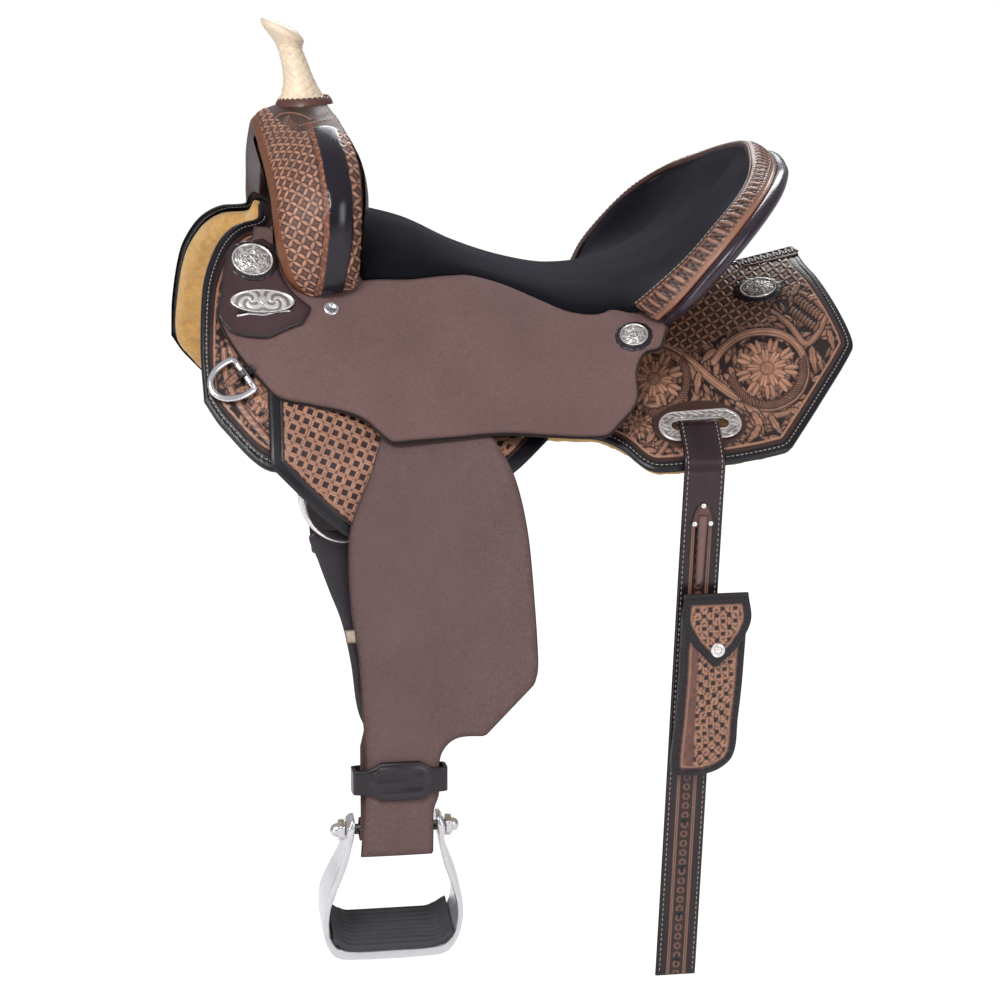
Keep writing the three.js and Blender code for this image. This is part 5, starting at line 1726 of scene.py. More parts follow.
def domed_disc(name, local, radius_x, radius_y, thick, relief, dome, rings=44, seg=120,
               rim=.08):
    """Domed metal ornament; relief(radius, angle, x, y) runs from -1 to 1."""
    share, angle = np.meshgrid(np.r_[0, np.linspace(.02, 1, rings)],
                               np.linspace(0, 2 * np.pi, seg, endpoint=False), indexing='ij')
    x, y = share * np.cos(angle) * radius_x, share * np.sin(angle) * radius_y
    cut = relief(share, angle, x, y)
    in_rim = ease(1 - rim - .03, 1 - rim, share)
    lip = .75 + .35 * np.sin(np.pi * np.clip((share - (1 - rim)) / rim, 0, 1))
    height = (dome * (1 - share ** 2) * (1 - in_rim) + .26 * cut * (1 - in_rim)
              + in_rim * lip)
    height = np.where(share > .995, .2, height)
    bright = (np.clip(.5 + .6 * cut, 0, 1) * (1 - in_rim)
              + in_rim * (.95 - .6 * fade(0, .3, np.abs(share - (1 - rim)) * 30))).ravel()
    light, dull = rgb(238, 234, 230), rgb(128, 120, 116)
    col = mix(np.tile(dull, (len(bright), 1)), light, bright)
    points = np.vstack([on_frame(local, x, y, height).reshape(-1, 3),
                        on_frame(local, x[-1], y[-1], -thick),
                        (local[0] - thick * local[3])[None]])
    back = (rings + 1) * seg
    k = np.arange(seg)
    fan = np.c_[back + k, back + (k + 1) % seg, np.full(seg, back + seg)]
    faces = np.vstack([grid_faces(rings + 2, seg, False, True), fan])
    return outward(build(name, points, faces,
                         np.vstack([col, np.tile(dull, (seg + 1, 1))]),
                         np.r_[.26 + .22 * (1 - bright), np.full(seg + 1, .4)]))


def engrave_round(r, angle, x, y):
    """Scrolls and leaves cut round a centre flower."""
    scrolls = (np.cos(angle * 7 + 4.2 * np.sin(r * 9.))
               * np.cos(r * 24 + 1.4 * np.sin(angle * 7)))
    flower = np.cos(angle * 6) * .5 + .5 - r * 4
    cut = np.where(r < .30, np.tanh(3 * flower), np.tanh(2.4 * scrolls))
    return cut * .8 * fade(.86, .93, r) - .3 * fade(.01, .03, np.abs(r - .88))


def engrave_oval(r, angle, x, y):
    """Mirrored leaf scrolls either side of a plain lozenge."""
    x, y = np.abs(x) / 29, y / 12
    scrolls = np.cos(9 * np.hypot(x - .38, y * .42) * 2.6 + 3 * np.arctan2(y * .45, x - .38))
    lozenge = x + np.abs(y) * .3
    return np.where(fade(.16, .2, lozenge) > .5, .6 - .8 * (np.abs(lozenge - .13) < .02),
                    np.tanh(2 * scrolls)) * .8


def rosette(name, local, radius_x, radius_y, lobes, depth):
    """Scalloped leather disc under an ornament."""
    seg = lobes * 12
    angle = np.linspace(0, 2 * np.pi, seg, endpoint=False)
    scallop = 1 + .07 * np.abs(np.sin(angle * lobes / 2)) ** .5
    rows = []
    for share, height in ((0, 1.4), (.5, 1.4), (.86, 1.4), (.95, 1.2), (1., .5),
                          (1., -depth)):
        r = share * (scallop if share > .8 else np.ones(seg))
        rows.append(on_frame(local, radius_x * r * np.cos(angle),
                             radius_y * r * np.sin(angle), height))
    return outward(build(name, np.vstack(rows), grid_faces(6, seg, False, True),
                         rgb(36, 30, 34), .3))


# Name, surface, x, y, offset, radii, engraving; rosette radii, lobes and depth.
CONCHOS = [
    ("concho_front", jockey_z, 128.5, -310, 6.6, (19, 17), engrave_round, (22.5, 20, 12, 1.)),
    ("concho_oval", jockey_z, 156, -304, 7.1, (29, 12), engrave_oval, None),
    ("concho_jockey", jockey_z, 168, 36, 2.2, (13, 13), engrave_round, (17, 17, 12, 1.6)),
    ("concho_skirt", body_z, 63.2, 180, 3.6, (17.5, 15.5), engrave_round, (22, 20, 16, 1.6))]


def make_conchos():
    for name, surface, x, y, offset, radii, relief, backing in CONCHOS:
        local = surface_frame(surface, x, y, offset)
        twins(domed_disc(name, local, *radii, 1.2, relief, rim=.075, dome=1.6),
              name, "silver", name)
        if backing:
            local = surface_frame(surface, x, y, offset - 2.6)
            twins(rosette(name + "_rosette", local, *backing), name + "_rosette", "dark")


def make_jockey_screw():
    spot = cast([(-169, -191)], jockey_z)[0]
    local = surface_frame(jockey_z, spot[0], spot[1], .6)
    angle = np.linspace(0, 2 * np.pi, 48, endpoint=False)
    rows = []
    for radius, height in ((0, .6), (2.2, .6), (2.6, 1.2), (3.8, 1.4), (4.4, 1.9), (6.6, 1.9),
                           (7.3, 1.2), (7.6, .2), (7.6, -1.0)):
        r = radius * (1 + (.05 * np.cos(angle * 6) if 3 < radius < 7 else 0))
        rows.append(on_frame(local, r * np.cos(angle), r * np.sin(angle), height))
    screw = build("jockey_screw", np.vstack(rows), grid_faces(len(rows), 48, False, True))
    twins(outward(screw), "jockey_screw", "steel")


def make_plate_slot():
    """Metal lip under the oval ornament and the dark strip above it."""
    spots = cast([(-263, -184), (-250, -186.5), (-236, -185), (-223, -188.5), (-209, -189)],
                 jockey_z, 7.4)
    path = resample(spots, 3, closed=False)
    twins(build("plate_slot", *tube(path, (.8, 1.2), 8)), "plate_slot", "steel")
    strip = tube(path + UPWARD * 3.0 - TOWARD_EYE * 1.2, (1.5, .8), 8)
    twins(build("plate_slot_shadow", *strip, rgb(24, 16, 16), .7), "plate_slot_shadow",
          "dark")


# ---------------------------------------------------------------- rigging
RIGGING = [                                     # y, z, 1 at a sharp corner
    [-304, -47, 1], [-306, -86], [-307, -109], [-305, -117], [-246, -176], [-228, -184],
    [-214, -186], [-170, -178], [-120, -148], [-87, -126], [-52, -103, 1], [-70, -88, 1],
    [-150, -84], [-196, -74], [-222, -58, 1], [-242, -48], [-262, -44]]


def rigging_x(y, z):
    """Just outside the body, smoothly held to x = 250."""
    drop = np.clip(curve(BODY_Y, BODY_RIDGE, y) - z, 0, None)
    body_x = (drop / curve(BODY_Y, BODY_FALL, y)) ** (2 / 3) + 8
    limit, softness, middle = 250, 6, 200
    return -softness * np.log(np.exp(-(body_x - middle) / softness)
                              + np.exp(-(limit - middle) / softness)) + middle


def rigging_tool(flat, points, dist):
    y, z = flat[:, 0], flat[:, 1]
    dist = np.where((y < -290) | (z < -112) | (y > -132), dist, 99.)
    height, col, rough = weave(to_plane(points) + STAMP_START, pitch=10.4,
                               angle=math.radians(22), depth=1.3,
                               tones=(TAN, MID, DARK * 1.8), hole_size=.26)
    height, col = flat_band(dist, col, height, 12.6, 13, MID * .62)
    height, col = band_line(dist, col, height, 15.2, 1.5, TAN * .8, .4)
    height, col = band_line(dist, col, height, 12.6, 1.0, DARK * .6, -.3)
    height, col, rough = border(dist, col, height, rough, 11.)
    return height - .5 * fade(.3, .9, np.abs(dist - 10.2)), col, rough


def make_rigging():
    piece = sheet("rigging", lift_side(rigging_x), smooth_poly(RIGGING, 2.5), TOOLED_STEP, 4,
                  rigging_tool, rim_col=BLACK, base=rgb(88, 58, 44))
    twins(piece, "rigging", "tool", "rigging_leather")


def half_ring(radius, top):
    """Half circle below a flat top, in (y, z)."""
    centre_y, centre_z = -240, -141
    angle = np.linspace(math.pi, 2 * math.pi, 60)
    arc = np.stack([centre_y + radius * np.cos(angle),
                    centre_z + radius * np.sin(angle) * 1.06 + top], -1)
    bar = np.linspace(arc[-1, 0], arc[0, 0], 42)[1:-1]
    return np.vstack([arc, np.stack([bar, np.full(40, centre_z + top)], -1)])


def make_rigging_dee():
    outer, inner = half_ring(43, 0), half_ring(36, -6)
    rows = []
    for share, x in ((0, 240), (.10, 239.1), (.9, 239.1), (1, 240), (1, 243.6), (.9, 244.5),
                     (.5, 244.9), (.10, 244.5), (0, 243.6)):
        ring = outer * (1 - share) + inner * share
        rows.append(np.c_[np.full(len(ring), x), ring])
    dee = build("rigging_dee", np.vstack(rows), grid_faces(len(rows), len(outer), True, True))
    twins(outward(dee), "rigging_dee", "steel", "rigging_dee")


# ---------------------------------------------------------------- tie straps (y, z)
TIE_REAR_EDGE = [[-182, -262], [-192, -232], [-203, -206], [-216, -184]]
TIE_NEAR = [[-271, -180], [-264, -206], [-255, -232], [-244, -262], [-236, -300],
            [-230, -345], [-218, -372, 1], [-176, -372, 1], [-178, -345],
            [-178, -300]] + TIE_REAR_EDGE
TIE_OFF = [[-246, -184], [-240, -206], [-232, -232], [-222, -262], [-219, -290],
           [-218, -300, 1], [-182, -300, 1], [-181, -290]] + TIE_REAR_EDGE
# Fold over the dee's bar: x, and z from the bar.
TIE_FOLD = [(232.9, -22), (233.4, -8), (234.4, 3), (238.6, 7.0), (246.0, 7.4), (248.4, 3.2),
            (247.6, -3), (244.6, -9), (239.6, -14), (236.6, -22)]


def make_tie_fold():
    lines = []
    for k in range(13):
        share = k / 12
        y, bar_z = -237 + 21 * share, -178 - 2 * share
        lines.append(spline([(x, y, bar_z + z) for x, z in TIE_FOLD], 40))
    inner = np.stack(lines)
    normal = unit(np.cross(np.gradient(inner, axis=1), np.array([0, 1., 0])))
    return shell("tie_fold", inner, inner + normal * 2.6, rgb(46, 38, 44), .36)


def make_ties():
    near, off = (sheet("tie_strap", lift_side(lambda y, z: 233.0 + .8 * np.sin(z * .05)),
                       smooth_poly(outline, 3), 4, 3.6, plain_tool(rgb(40, 33, 40), .38),
                       rim_col=BLACK, base=rgb(40, 32, 34))
                 for outline in (TIE_NEAR, TIE_OFF))
    fold = make_tie_fold()
    fold_off = copy_of(fold, "tie_fold_b", Matrix.Identity(4))
    near = join([near, fold], "tie_strap_look_near")
    off = transform(join([off, fold_off], "tie_strap_look_off"), MIRROR)
    put(near, "dark", "tie_near", "tie_strap_near")
    put(off, "dark", "tie_off", "tie_strap_off")
    tone = rgb(206, 188, 170)
    outline = smooth_poly([[-242, -268.5, 1], [-231, -268.5, 1], [-231, -281, 1],
                           [-240, -281, 1]], 2)
    keeper = sheet("tie_keeper", lift_side(lambda y, z: 233.9 + 0 * y), outline, 2, 1.4,
                   plain_tool(tone, .6), base=tone, top=1.)
    keeper.name = "tie_keeper_look_near"
    put(keeper, "rough", "tie_near")


# ---------------------------------------------------------------- fenders
# Fall of the fender over the rigging (x, z).
FENDER_FALL = spline([[219, -82], [233.5, -95], [248, -111], [257, -129], [261, -152],
                      [261.4, -175], [261, -300], [261, -480]], 200)
FENDER_RUN = np.r_[0, np.cumsum(np.linalg.norm(np.diff(FENDER_FALL, axis=0), axis=1))]
FENDER = [                                      # y, z, 1 at a sharp corner
    [-198, -83, 1], [-210, -100], [-219, -122], [-229, -143], [-238, -168], [-240.5, -195],
    [-238.5, -245], [-232, -290], [-229, -345], [-226.5, -390], [-228, -420], [-232, -474, 1],
    [-166, -474, 1], [-165.5, -446], [-165, -432], [-160.5, -418], [-160, -388], [-155, -375],
    [-143, -366.5], [-118, -366, 1], [-73, -320, 1], [-70, -308], [-70, -290], [-73, -245],
    [-78, -190], [-84, -155], [-92, -125], [-100, -108], [-116, -83, 1]]
FENDER_EDGE = rgb(58, 42, 40)


def lift_fender(flat):
    """Carries (y, run down the fall) into place; the lower part curls back."""
    y, run = flat[:, 0], flat[:, 1]

    def fall(at):
        return (np.interp(at, FENDER_RUN, FENDER_FALL[:, 0]),
                np.interp(at, FENDER_RUN, FENDER_FALL[:, 1]))
    x, z = fall(run)
    (x_after, z_after), (x_before, z_before) = fall(run + 2.), fall(run - 2.)
    normal = unit(np.stack([z_before - z_after, 0 * x, x_after - x_before], -1))
    x = x - .00055 * (y + 195) ** 2 * ease(330, 400, run)
    return np.stack([x, y, z], -1), normal


def fender_tool(flat, points, dist):
    y, run = flat[:, 0], flat[:, 1]
    broad = noise2(y * .025, run * .025, 21)
    fine = noise2(y * .11, run * .06, 22)
    col = rgb(101, 80, 79)[None] * (.90 + .14 * broad + .06 * fine)[:, None]
    col = mix(col, FENDER_EDGE, .5 * fade(.3, 2.4, dist))
    return np.zeros(len(flat)), col, np.full(len(flat), .92)


def make_fender(name, raised):
    """The fender's lower part is shortened by raised mm."""
    outline = []
    for y, z, *sharp in FENDER:
        z = z + raised * min(1, max(0, (-z - 112) / 178))
        outline.append([y, float(np.interp(-z, -FENDER_FALL[:, 1], FENDER_RUN))] + sharp)
    return sheet(name, lift_fender, smooth_poly(outline, 4), 4.0, 4.6, fender_tool,
                 rim_col=FENDER_EDGE, base=rgb(104, 84, 82), edge_r=1.6)


def make_fenders():
    near = make_fender("fender_look_near", 0)
    off = transform(make_fender("fender_look_off", OFF_RAISE), SWUNG)
    for o, side, place in ((near, "near", Matrix.Identity(4)), (off, "off", SWUNG)):
        dress(o, "rough")
        top, bottom = place @ Vector((.232, -.155, -.095)), place @ Vector((.262, -.155, -.150))
        tuple(top)
        tuple(bottom)
        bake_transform(o)
        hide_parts("fender_" + side)


# ---------------------------------------------------------------- stirrup leathers
STIRRUP_Y, BOLT_X, BOLT_Z = -199., 243., -452.


def stirrup_strap(name, raised):
    """Leather behind the fender, closed round the bolt."""
    bolt_z = BOLT_Z + raised
    fall = spline([(234.5, -119), (242.6, -138), (248.6, -161), (252.4, -200),
                   (253.6, (bolt_z - 200) / 2 - 20), (253.6, bolt_z + 60),
                   (253.6, bolt_z + 14)], 40)
    angle = np.linspace(math.radians(8), math.radians(-262), 36)
    loop = np.stack([BOLT_X + 8.6 * np.cos(angle), bolt_z + 8.6 * np.sin(angle)], -1)
    path = np.vstack([fall, loop])
    along = unit(np.gradient(path, axis=0))
    normal = np.stack([-along[:, 1], along[:, 0]], -1)
    # the upper part slants back
    slant = np.clip((path[:, 1] - bolt_z - 80) / 250, 0, 1)
    slant[len(fall):] = 0
    y = np.linspace(-231, -167, 16) + slant[:, None] * np.linspace(60, 62, 16)
    skins = []
    for offset in (-2.1, 2.1):
        moved = path + normal * offset
        skins.append(grid_points(moved[:, :1], y, moved[:, 1:]))
    return shell(name, *skins, rgb(70, 54, 50), .8)


def make_stirrup_leathers():
    put(stirrup_strap("stirrup_leather_look_near", 0), "rough", "leather_near",
        "stirrup_leather_near")
    off = transform(stirrup_strap("stirrup_leather_look_off", OFF_RAISE), SWUNG)
    put(off, "rough", "leather_off", "stirrup_leather_off")


def make_hobble():
    """Dark band round the leather's neck with an oval boss."""
    rows, seg = 30, 150
    mid_x, mid_y, mid_z = 254.3, -196., -403.
    angle = np.linspace(0, 2 * np.pi, seg, endpoint=False)[None]
    up = np.linspace(-1, 1, rows)[:, None]
    crown = (1 - np.abs(up) ** 6) ** .5
    skins = []
    for inset, outer in ((0, 1), (3.0, 0)):
        y = mid_y + (43 - inset) * signed_power(np.cos(angle), .22)
        x = mid_x + (11.7 - inset + outer * (crown - 1.0)) * signed_power(np.sin(angle), .22)
        boss = np.exp(-((y - mid_y) / 22) ** 4) * (np.sin(angle) > 0)
        half_height = 10.5 + 9.5 * boss + 1.2 * np.cos((y - mid_y) / 43 * 1.2)
        x = x + boss * 1.6 * (1 - up * up) * outer
        skins.append(grid_points(x, y, mid_z + up * half_height))
    skin = skins[0]
    across, down = (skin[..., 1] - mid_y) / 27, (skin[..., 2] - mid_z) / 18.5
    oval = np.hypot(across, down)
    facing = skin[..., 0] > mid_x + 6
    ring = fade(.05, .10, np.abs(oval - .92)) * facing
    within = (oval < .86) & facing
    leaves = np.cos(6 * np.arctan2(down, across) + 2.6 * np.sin(oval * 5)) * np.cos(oval * 9)
    skin[..., 0] += 1.1 * ring + np.where(within, .8 * np.tanh(2 * leaves), 0)
    lit = 1 + .6 * (np.clip(leaves, 0, 1) * within + ring)
    col = (rgb(30, 23, 28) * lit[..., None]).reshape(-1, 3)
    band = shell("hobble", skin, skins[1],
                 np.vstack([col, np.tile(rgb(40, 32, 38), (rows * seg, 1))]), .36,
                 close_columns=True)
    hang(band, "hobble_strap", "dark", "leather")


# ---------------------------------------------------------------- stirrups
# Half outlines from the bolt eye down to the middle of the foot, (y, z) from the bolt.
STIRRUP_OUTER = [[-48, 14], [-52, 4], [-52, -8], [-58, -30], [-68, -55], [-74, -75],
                 [-74, -104], [-68, -122], [-60, -132], [-30, -136], [0, -136.5]]
STIRRUP_INNER = [[-42, 14], [-45, -8], [-51, -32], [-61, -58], [-67, -78], [-66, -104],
                 [-58, -118], [-40, -122], [0, -122.5]]
# Half of the bolt, from its end inward: radius, y from the middle.
BOLT_HALF = [(0, -68), (2.5, -67.6), (4.6, -66), (5.8, -63.6), (6.2, -61), (6.2, -60),
             (9, -59.6), (9.4, -58.6), (9.4, -54.2), (9, -53.4), (4.8, -53.2)]
STIRRUP_TILT = (Matrix.Translation((BOLT_X * .001, 0, BOLT_Z * .001))
                @ Matrix.Rotation(math.radians(20), 4, 'Y')
                @ Matrix.Translation((-BOLT_X * .001, 0, -BOLT_Z * .001)))
STIRRUP_SLIM = (Matrix.Translation((0, STIRRUP_Y * .001, 0))
                @ Matrix.Scale(.865, 4, (0, 1, 0))
                @ Matrix.Translation((0, -STIRRUP_Y * .001, 0)))


def stirrup_side(half):
    half = spline(half, 110)
    return np.vstack([half, (half[:-1] * [-1, 1])[::-1]])


def make_stirrup_frames():
    outer, inner = stirrup_side(STIRRUP_OUTER), stirrup_side(STIRRUP_INNER)
    count = len(outer)
    from_end = np.minimum(np.arange(count), count - 1 - np.arange(count))
    taper = np.clip(from_end / 4., 0, 1) ** .5 * .5 + .5
    rows = []
    for angle in np.linspace(0, 2 * np.pi, 28, endpoint=False):
        out = signed_power(math.cos(angle), .45) * taper[:, None]
        line = (outer + inner) / 2 + (outer - inner) / 2 * out
        depth = np.interp(-line[:, 1], [-14, 0, 10, 84, 140], [10.5, 13, 13, 23.6, 24])
        rows.append(np.c_[BOLT_X + depth * taper * signed_power(math.sin(angle), .35),
                          line[:, 0] + STIRRUP_Y, line[:, 1] + BOLT_Z])
    piece = outward(build("stirrup_frame", *capped(np.stack(rows, 1))))
    transform(piece, STIRRUP_TILT)
    transform(piece, STIRRUP_SLIM)
    hang(piece, "stirrup_frame", "alu", "stirrup")


def make_stirrup_bolts():
    """Bolt with a nut and rounded cap at each end."""
    angle = np.linspace(0, 2 * np.pi, 48, endpoint=False)
    hexagon = 1. / np.cos(((angle + math.pi / 6) % (math.pi / 3)) - math.pi / 6) * .93
    rows = []
    for radius, y in BOLT_HALF + [(r, -y) for r, y in BOLT_HALF[::-1]]:
        r = radius * (hexagon if 8.9 < radius < 9.5 else np.ones(48))
        rows.append(np.stack([BOLT_X + r * np.cos(angle), np.full(48, STIRRUP_Y + y),
                              BOLT_Z + r * np.sin(angle)], -1))
    bolt = outward(build("stirrup_bolt", np.vstack(rows),
                         grid_faces(len(rows), 48, False, True)))
    hang(transform(bolt, STIRRUP_SLIM), "stirrup_bolt", "steel", "stirrup")


def make_treads():
    """Rubber with long ribs, turned up at both ends against the arms."""
    y, x = np.linspace(-64, 64, 90)[:, None], np.linspace(-1, 1, 150)[None]
    rib = ease(-.35, .25, np.cos(2 * np.pi * x * 4.5 + math.pi))
    edge = np.clip(1 - np.abs(x) ** 14, 0, 1) ** .3
    ribbed = fade(51.5, 53, np.abs(y))
    turn_up = 11.5 * ease(38, 66, np.abs(y)) ** 1.5
    rise = (1.6 + 2.0 * rib * ribbed + .8 * (1 - ribbed)) * edge
    top_z = BOLT_Z - 117.6 + rise + turn_up + 1.5 * x ** 2 * .6
    top = grid_points(BOLT_X + x * 27., STIRRUP_Y + y, top_z)
    under = grid_points(BOLT_X + x * 27., STIRRUP_Y + y, BOLT_Z - 121 + turn_up)
    tread = shell("tread", top, under)
    transform(tread, STIRRUP_TILT)
    transform(tread, STIRRUP_SLIM)
    hang(tread, "stirrup_tread", "rubber", "stirrup")


# ---------------------------------------------------------------- breast dee and its keeper
def breast_dee_frame():
    """Middle of the bar, its direction, the way out to the loop, and their normal."""
    spots = cast([(-264.5, -140), (-248, -117.5)], body_z, 6.6)
    start, end = (surface_frame(body_z, s[0], s[1], 6.6)[0] for s in spots)
    middle = start + (end - start) * .44
    out = surface_frame(body_z, 220, -356, 6.6)[0] - middle
    bar = unit(end - start)
    normal = unit(np.cross(bar, out))
    return middle, bar, np.cross(normal, bar), normal


def make_breast_dee():
    middle, bar, out, normal = breast_dee_frame()
    loop = smooth_poly([[-19.5, 0, 1], [-20, 10], [-17.5, 21], [-10.5, 30.5], [0, 34],
                        [10.5, 30.5], [17.5, 21], [20, 10], [19.5, 0, 1]], 1.2,
                       closed=False) * [.88, .98]
    loop_points, loop_faces = tube(middle + loop[:, :1] * bar + loop[:, 1:] * out,
                                   (2.3, 3.0), 14, up=normal)
    bar_points, bar_faces = tube([middle + bar * x for x in (-18.6, -9, 9, 18.6)],
                                 (2.9, 2.9), 18)
    dee = build("breast_dee", np.vstack([loop_points, bar_points]),
                np.vstack([loop_faces, bar_faces + len(loop_points)]))
    twins(outward(dee), "breast_dee", "steel", "breast_dee", body="breast")


# Keeper round the dee's bar: way out from the bar, height.
KEEPER_PATH = [(-9.5, -3.4), (-6.5, .8), (-1, 4.6), (4.6, 1.2), (4.2, -2.8), (0, -4.6)]


def make_dee_keeper():
    middle, bar, out, normal = breast_dee_frame()
    lines = []
    for share in np.linspace(-.24, .24, 8):
        centre = middle + bar * 10.5 * share * 1.2
        lines.append(spline([centre + out * a + normal * b for a, b in KEEPER_PATH], 24))
    skin = np.array(lines)
    skin_normal = unit(np.cross(np.gradient(skin, axis=1), bar))
    way = 1 if skin_normal[4, 10] @ normal > 0 else -1
    loop = shell("keeper_loop", skin, skin + skin_normal * way * 1.5, rgb(30, 24, 26), .5)
    twins(loop, "dee_keeper", "dark", "dee_keeper")


# ---------------------------------------------------------------- slot plate, engraved
def slot_outline(length, width, arc_count, count):
    """Round-ended slot as count points."""
    angle = np.linspace(-math.pi / 2, math.pi / 2, arc_count)
    end = np.c_[length / 2 - width / 2 + width / 2 * np.cos(angle),
                width / 2 * np.sin(angle)]
    loop = resample(np.vstack([end, -end]), 1)
    at = np.linspace(0, len(loop), count, endpoint=False)
    return np.stack([np.interp(at, np.arange(len(loop) + 1), np.r_[loop[:, k], loop[0, k]])
                     for k in (0, 1)], -1)


def make_slot_plate():
    count = 180
    local = surface_frame(body_z, 204.5, 90.2, 1.6)
    outer, inner = slot_outline(77, 35, 60, count), slot_outline(53, 12, 40, count)
    share = np.r_[0, np.linspace(0, 1, 40), 1][:, None] * np.ones((1, count))
    rows = outer * (1 - share[..., None]) + inner * share[..., None]
    x, y = rows[..., 0], rows[..., 1]
    cut = np.tanh(2.2 * np.cos(x * .55 + 1.9 * np.sin(y * .42))
                  * np.cos(y * .75 + 1.7 * np.sin(x * .36)))
    field = ease(.12, .18, share) * fade(.8, .86, share)
    height = (2.0 + .28 * cut * field + .3 * (1 - field)
              - 1.2 * ((share < .02) | (share > .98)))
    height[0], height[-1] = 0, 0
    bright = (np.clip(.5 + .5 * cut, 0, 1) * field + (1 - field)).ravel()
    dull = rgb(150, 140, 136)
    col = mix(np.tile(dull, (len(bright), 1)), rgb(226, 218, 214), bright)
    back = [on_frame(local, ring[:, 0], ring[:, 1], 0.) for ring in (outer, inner)]
    points = np.vstack([on_frame(local, x, y, height).reshape(-1, 3)] + back)
    faces = np.vstack([grid_faces(len(rows), count, False, True),
                       grid_faces(2, count, False, True)[:, ::-1] + len(rows) * count])
    plate = build("slot_plate", points, faces,
                  np.vstack([col, np.tile(dull, (2 * count, 1))]),
                  np.r_[.30 + .15 * (1 - bright), np.full(2 * count, .4)])
    twins(outward(plate, weld=1e-6), "slot_plate", "silver", "slot_plate")

    # dark well and lining seen through the slot; half of its rim is painted darker as shade
    floor = on_frame(local, inner[:, 0] * 1.02, inner[:, 1] * 1.05, .7)
    k = np.arange(count)
    # one half of the rim painted darker, the other lighter: painted shade and light
    shade = rgb(70, 46, 28)[None] * (.6 + .9 * (inner[:, 1:] < 0))
    well = build("slot_well", np.vstack([floor, (local[0] + .7 * local[3])[None]]),
                 np.c_[k, (k + 1) % count, np.full(count, count)],
                 np.vstack([shade, rgb(120, 84, 40)[None]]), .9)
    if Vector(local[3]).dot(well.data.polygons[0].normal) < 0:
        well.data.flip_normals()
    twins(well, "slot_well", "rough")


# ---------------------------------------------------------------- flank billets
BILLET_Y, BILLET_HALF, BILLET_THICK = 72, 19, 3.9
BILLET_HOLE_START, BILLET_HOLE_PITCH = 388, 44.5
# Slant toward +y with height.
BILLET_SLANT = Matrix(((1, 0, 0, 0), (0, 1, .0465, .01925), (0, 0, 1, 0), (0, 0, 0, 1)))
BILLET_TOP = spline([(203.5, -101), (205.8, -96.4), (211, -96.4), (218.8, -101.9),
                     (229, -110.3), (237.6, -117.8), (242.6, -125), (243.9, -134)], 26)
billet_z = np.linspace(-135.5, -608, 380)
billet_path = np.vstack([BILLET_TOP,
                         np.c_[243.7 + .8 * np.sin((billet_z + 131) * .012), billet_z]])


def path_normals(path):
    """Unit (x, z) normals of an (x, z) path, turned toward +x at its middle."""
    along = unit(np.gradient(path, axis=0))
    normal = np.stack([-along[:, 1], along[:, 0]], -1)
    return -normal if normal[len(normal) // 2, 0] < 0 else normal


def billet_tool(y, run, dist):
    """Plain at the top, then a tooled centre strip between cut lines, with holes painted near
    black as the shade inside them.
    """
    off = np.abs(y - BILLET_Y)
    mottle = noise2(y * .1, run * .03, 31)
    col = rgb(44, 28, 32)[None] * (.7 + .5 * mottle[:, None])
    col = mix(col, rgb(20, 15, 18), .6 * fade(.3, 2., dist))
    low = ease(104, 108, run)
    centre = fade(5.6, 6.1, off) * low
    link = fade(.10, .2, np.abs(np.hypot(((run / 9.) % 1 - .5) * 1.5, off / 6.4) - .42))
    strip = mix(np.tile(DARK * 1.3, (len(y), 1)), MID * 1.25, link)
    height = (.45 * link - .3) * centre
    col = mix(col, strip, centre)
    for at, tone in ((6.9, TAN * .62), (8.6, TAN * .5)):
        line = fade(.35, .8, np.abs(off - at)) * low
        col, height = mix(col, tone, line), height + .3 * line
    col = col * (1 - .45 * (ease(9.4, 10.2, off) * low)[:, None])
    holes = np.zeros(len(y))
    for k in range(5):
        radius = np.hypot(off, run - (BILLET_HOLE_START + k * BILLET_HOLE_PITCH))
        holes = np.maximum(holes, fade(2.4, 3.0, radius))
    # near-black holes: painted shade inside the punched holes
    return height - 1.2 * holes, mix(col, rgb(14, 10, 10), holes)


def billet_strap(name, path, columns):
    """Strap along an (x, z) path."""
    normal = path_normals(path)
    run = np.r_[0, np.cumsum(np.linalg.norm(np.diff(path, axis=0), axis=1))]
    first, last = BILLET_Y - BILLET_HALF, BILLET_Y + BILLET_HALF
    y = np.linspace(first, last, columns)
    dist = np.minimum(y - first, last - y)
    rounding = np.sqrt(np.clip(1 - (1 - np.clip(dist, 0, 1.6) / 1.6) ** 2, 0, 1))
    runs, ys = np.meshgrid(run, y, indexing='ij')
    height, col = billet_tool(ys.ravel(), runs.ravel(), np.tile(dist, len(path)))
    top = BILLET_THICK * (.5 + .5 * rounding)[None] + height.reshape(ys.shape)
    under = (BILLET_THICK * .5 * (1 - rounding))[None]
    skins = [grid_points(path[:, :1] + normal[:, :1] * out, ys,
                         path[:, 1:] + normal[:, 1:] * out) for out in (top, under)]
    count = ys.size
    return shell(name, *skins, np.vstack([col, np.tile(rgb(52, 36, 34), (count, 1))]),
                 np.r_[np.full(count, .24), np.full(count, .6)])


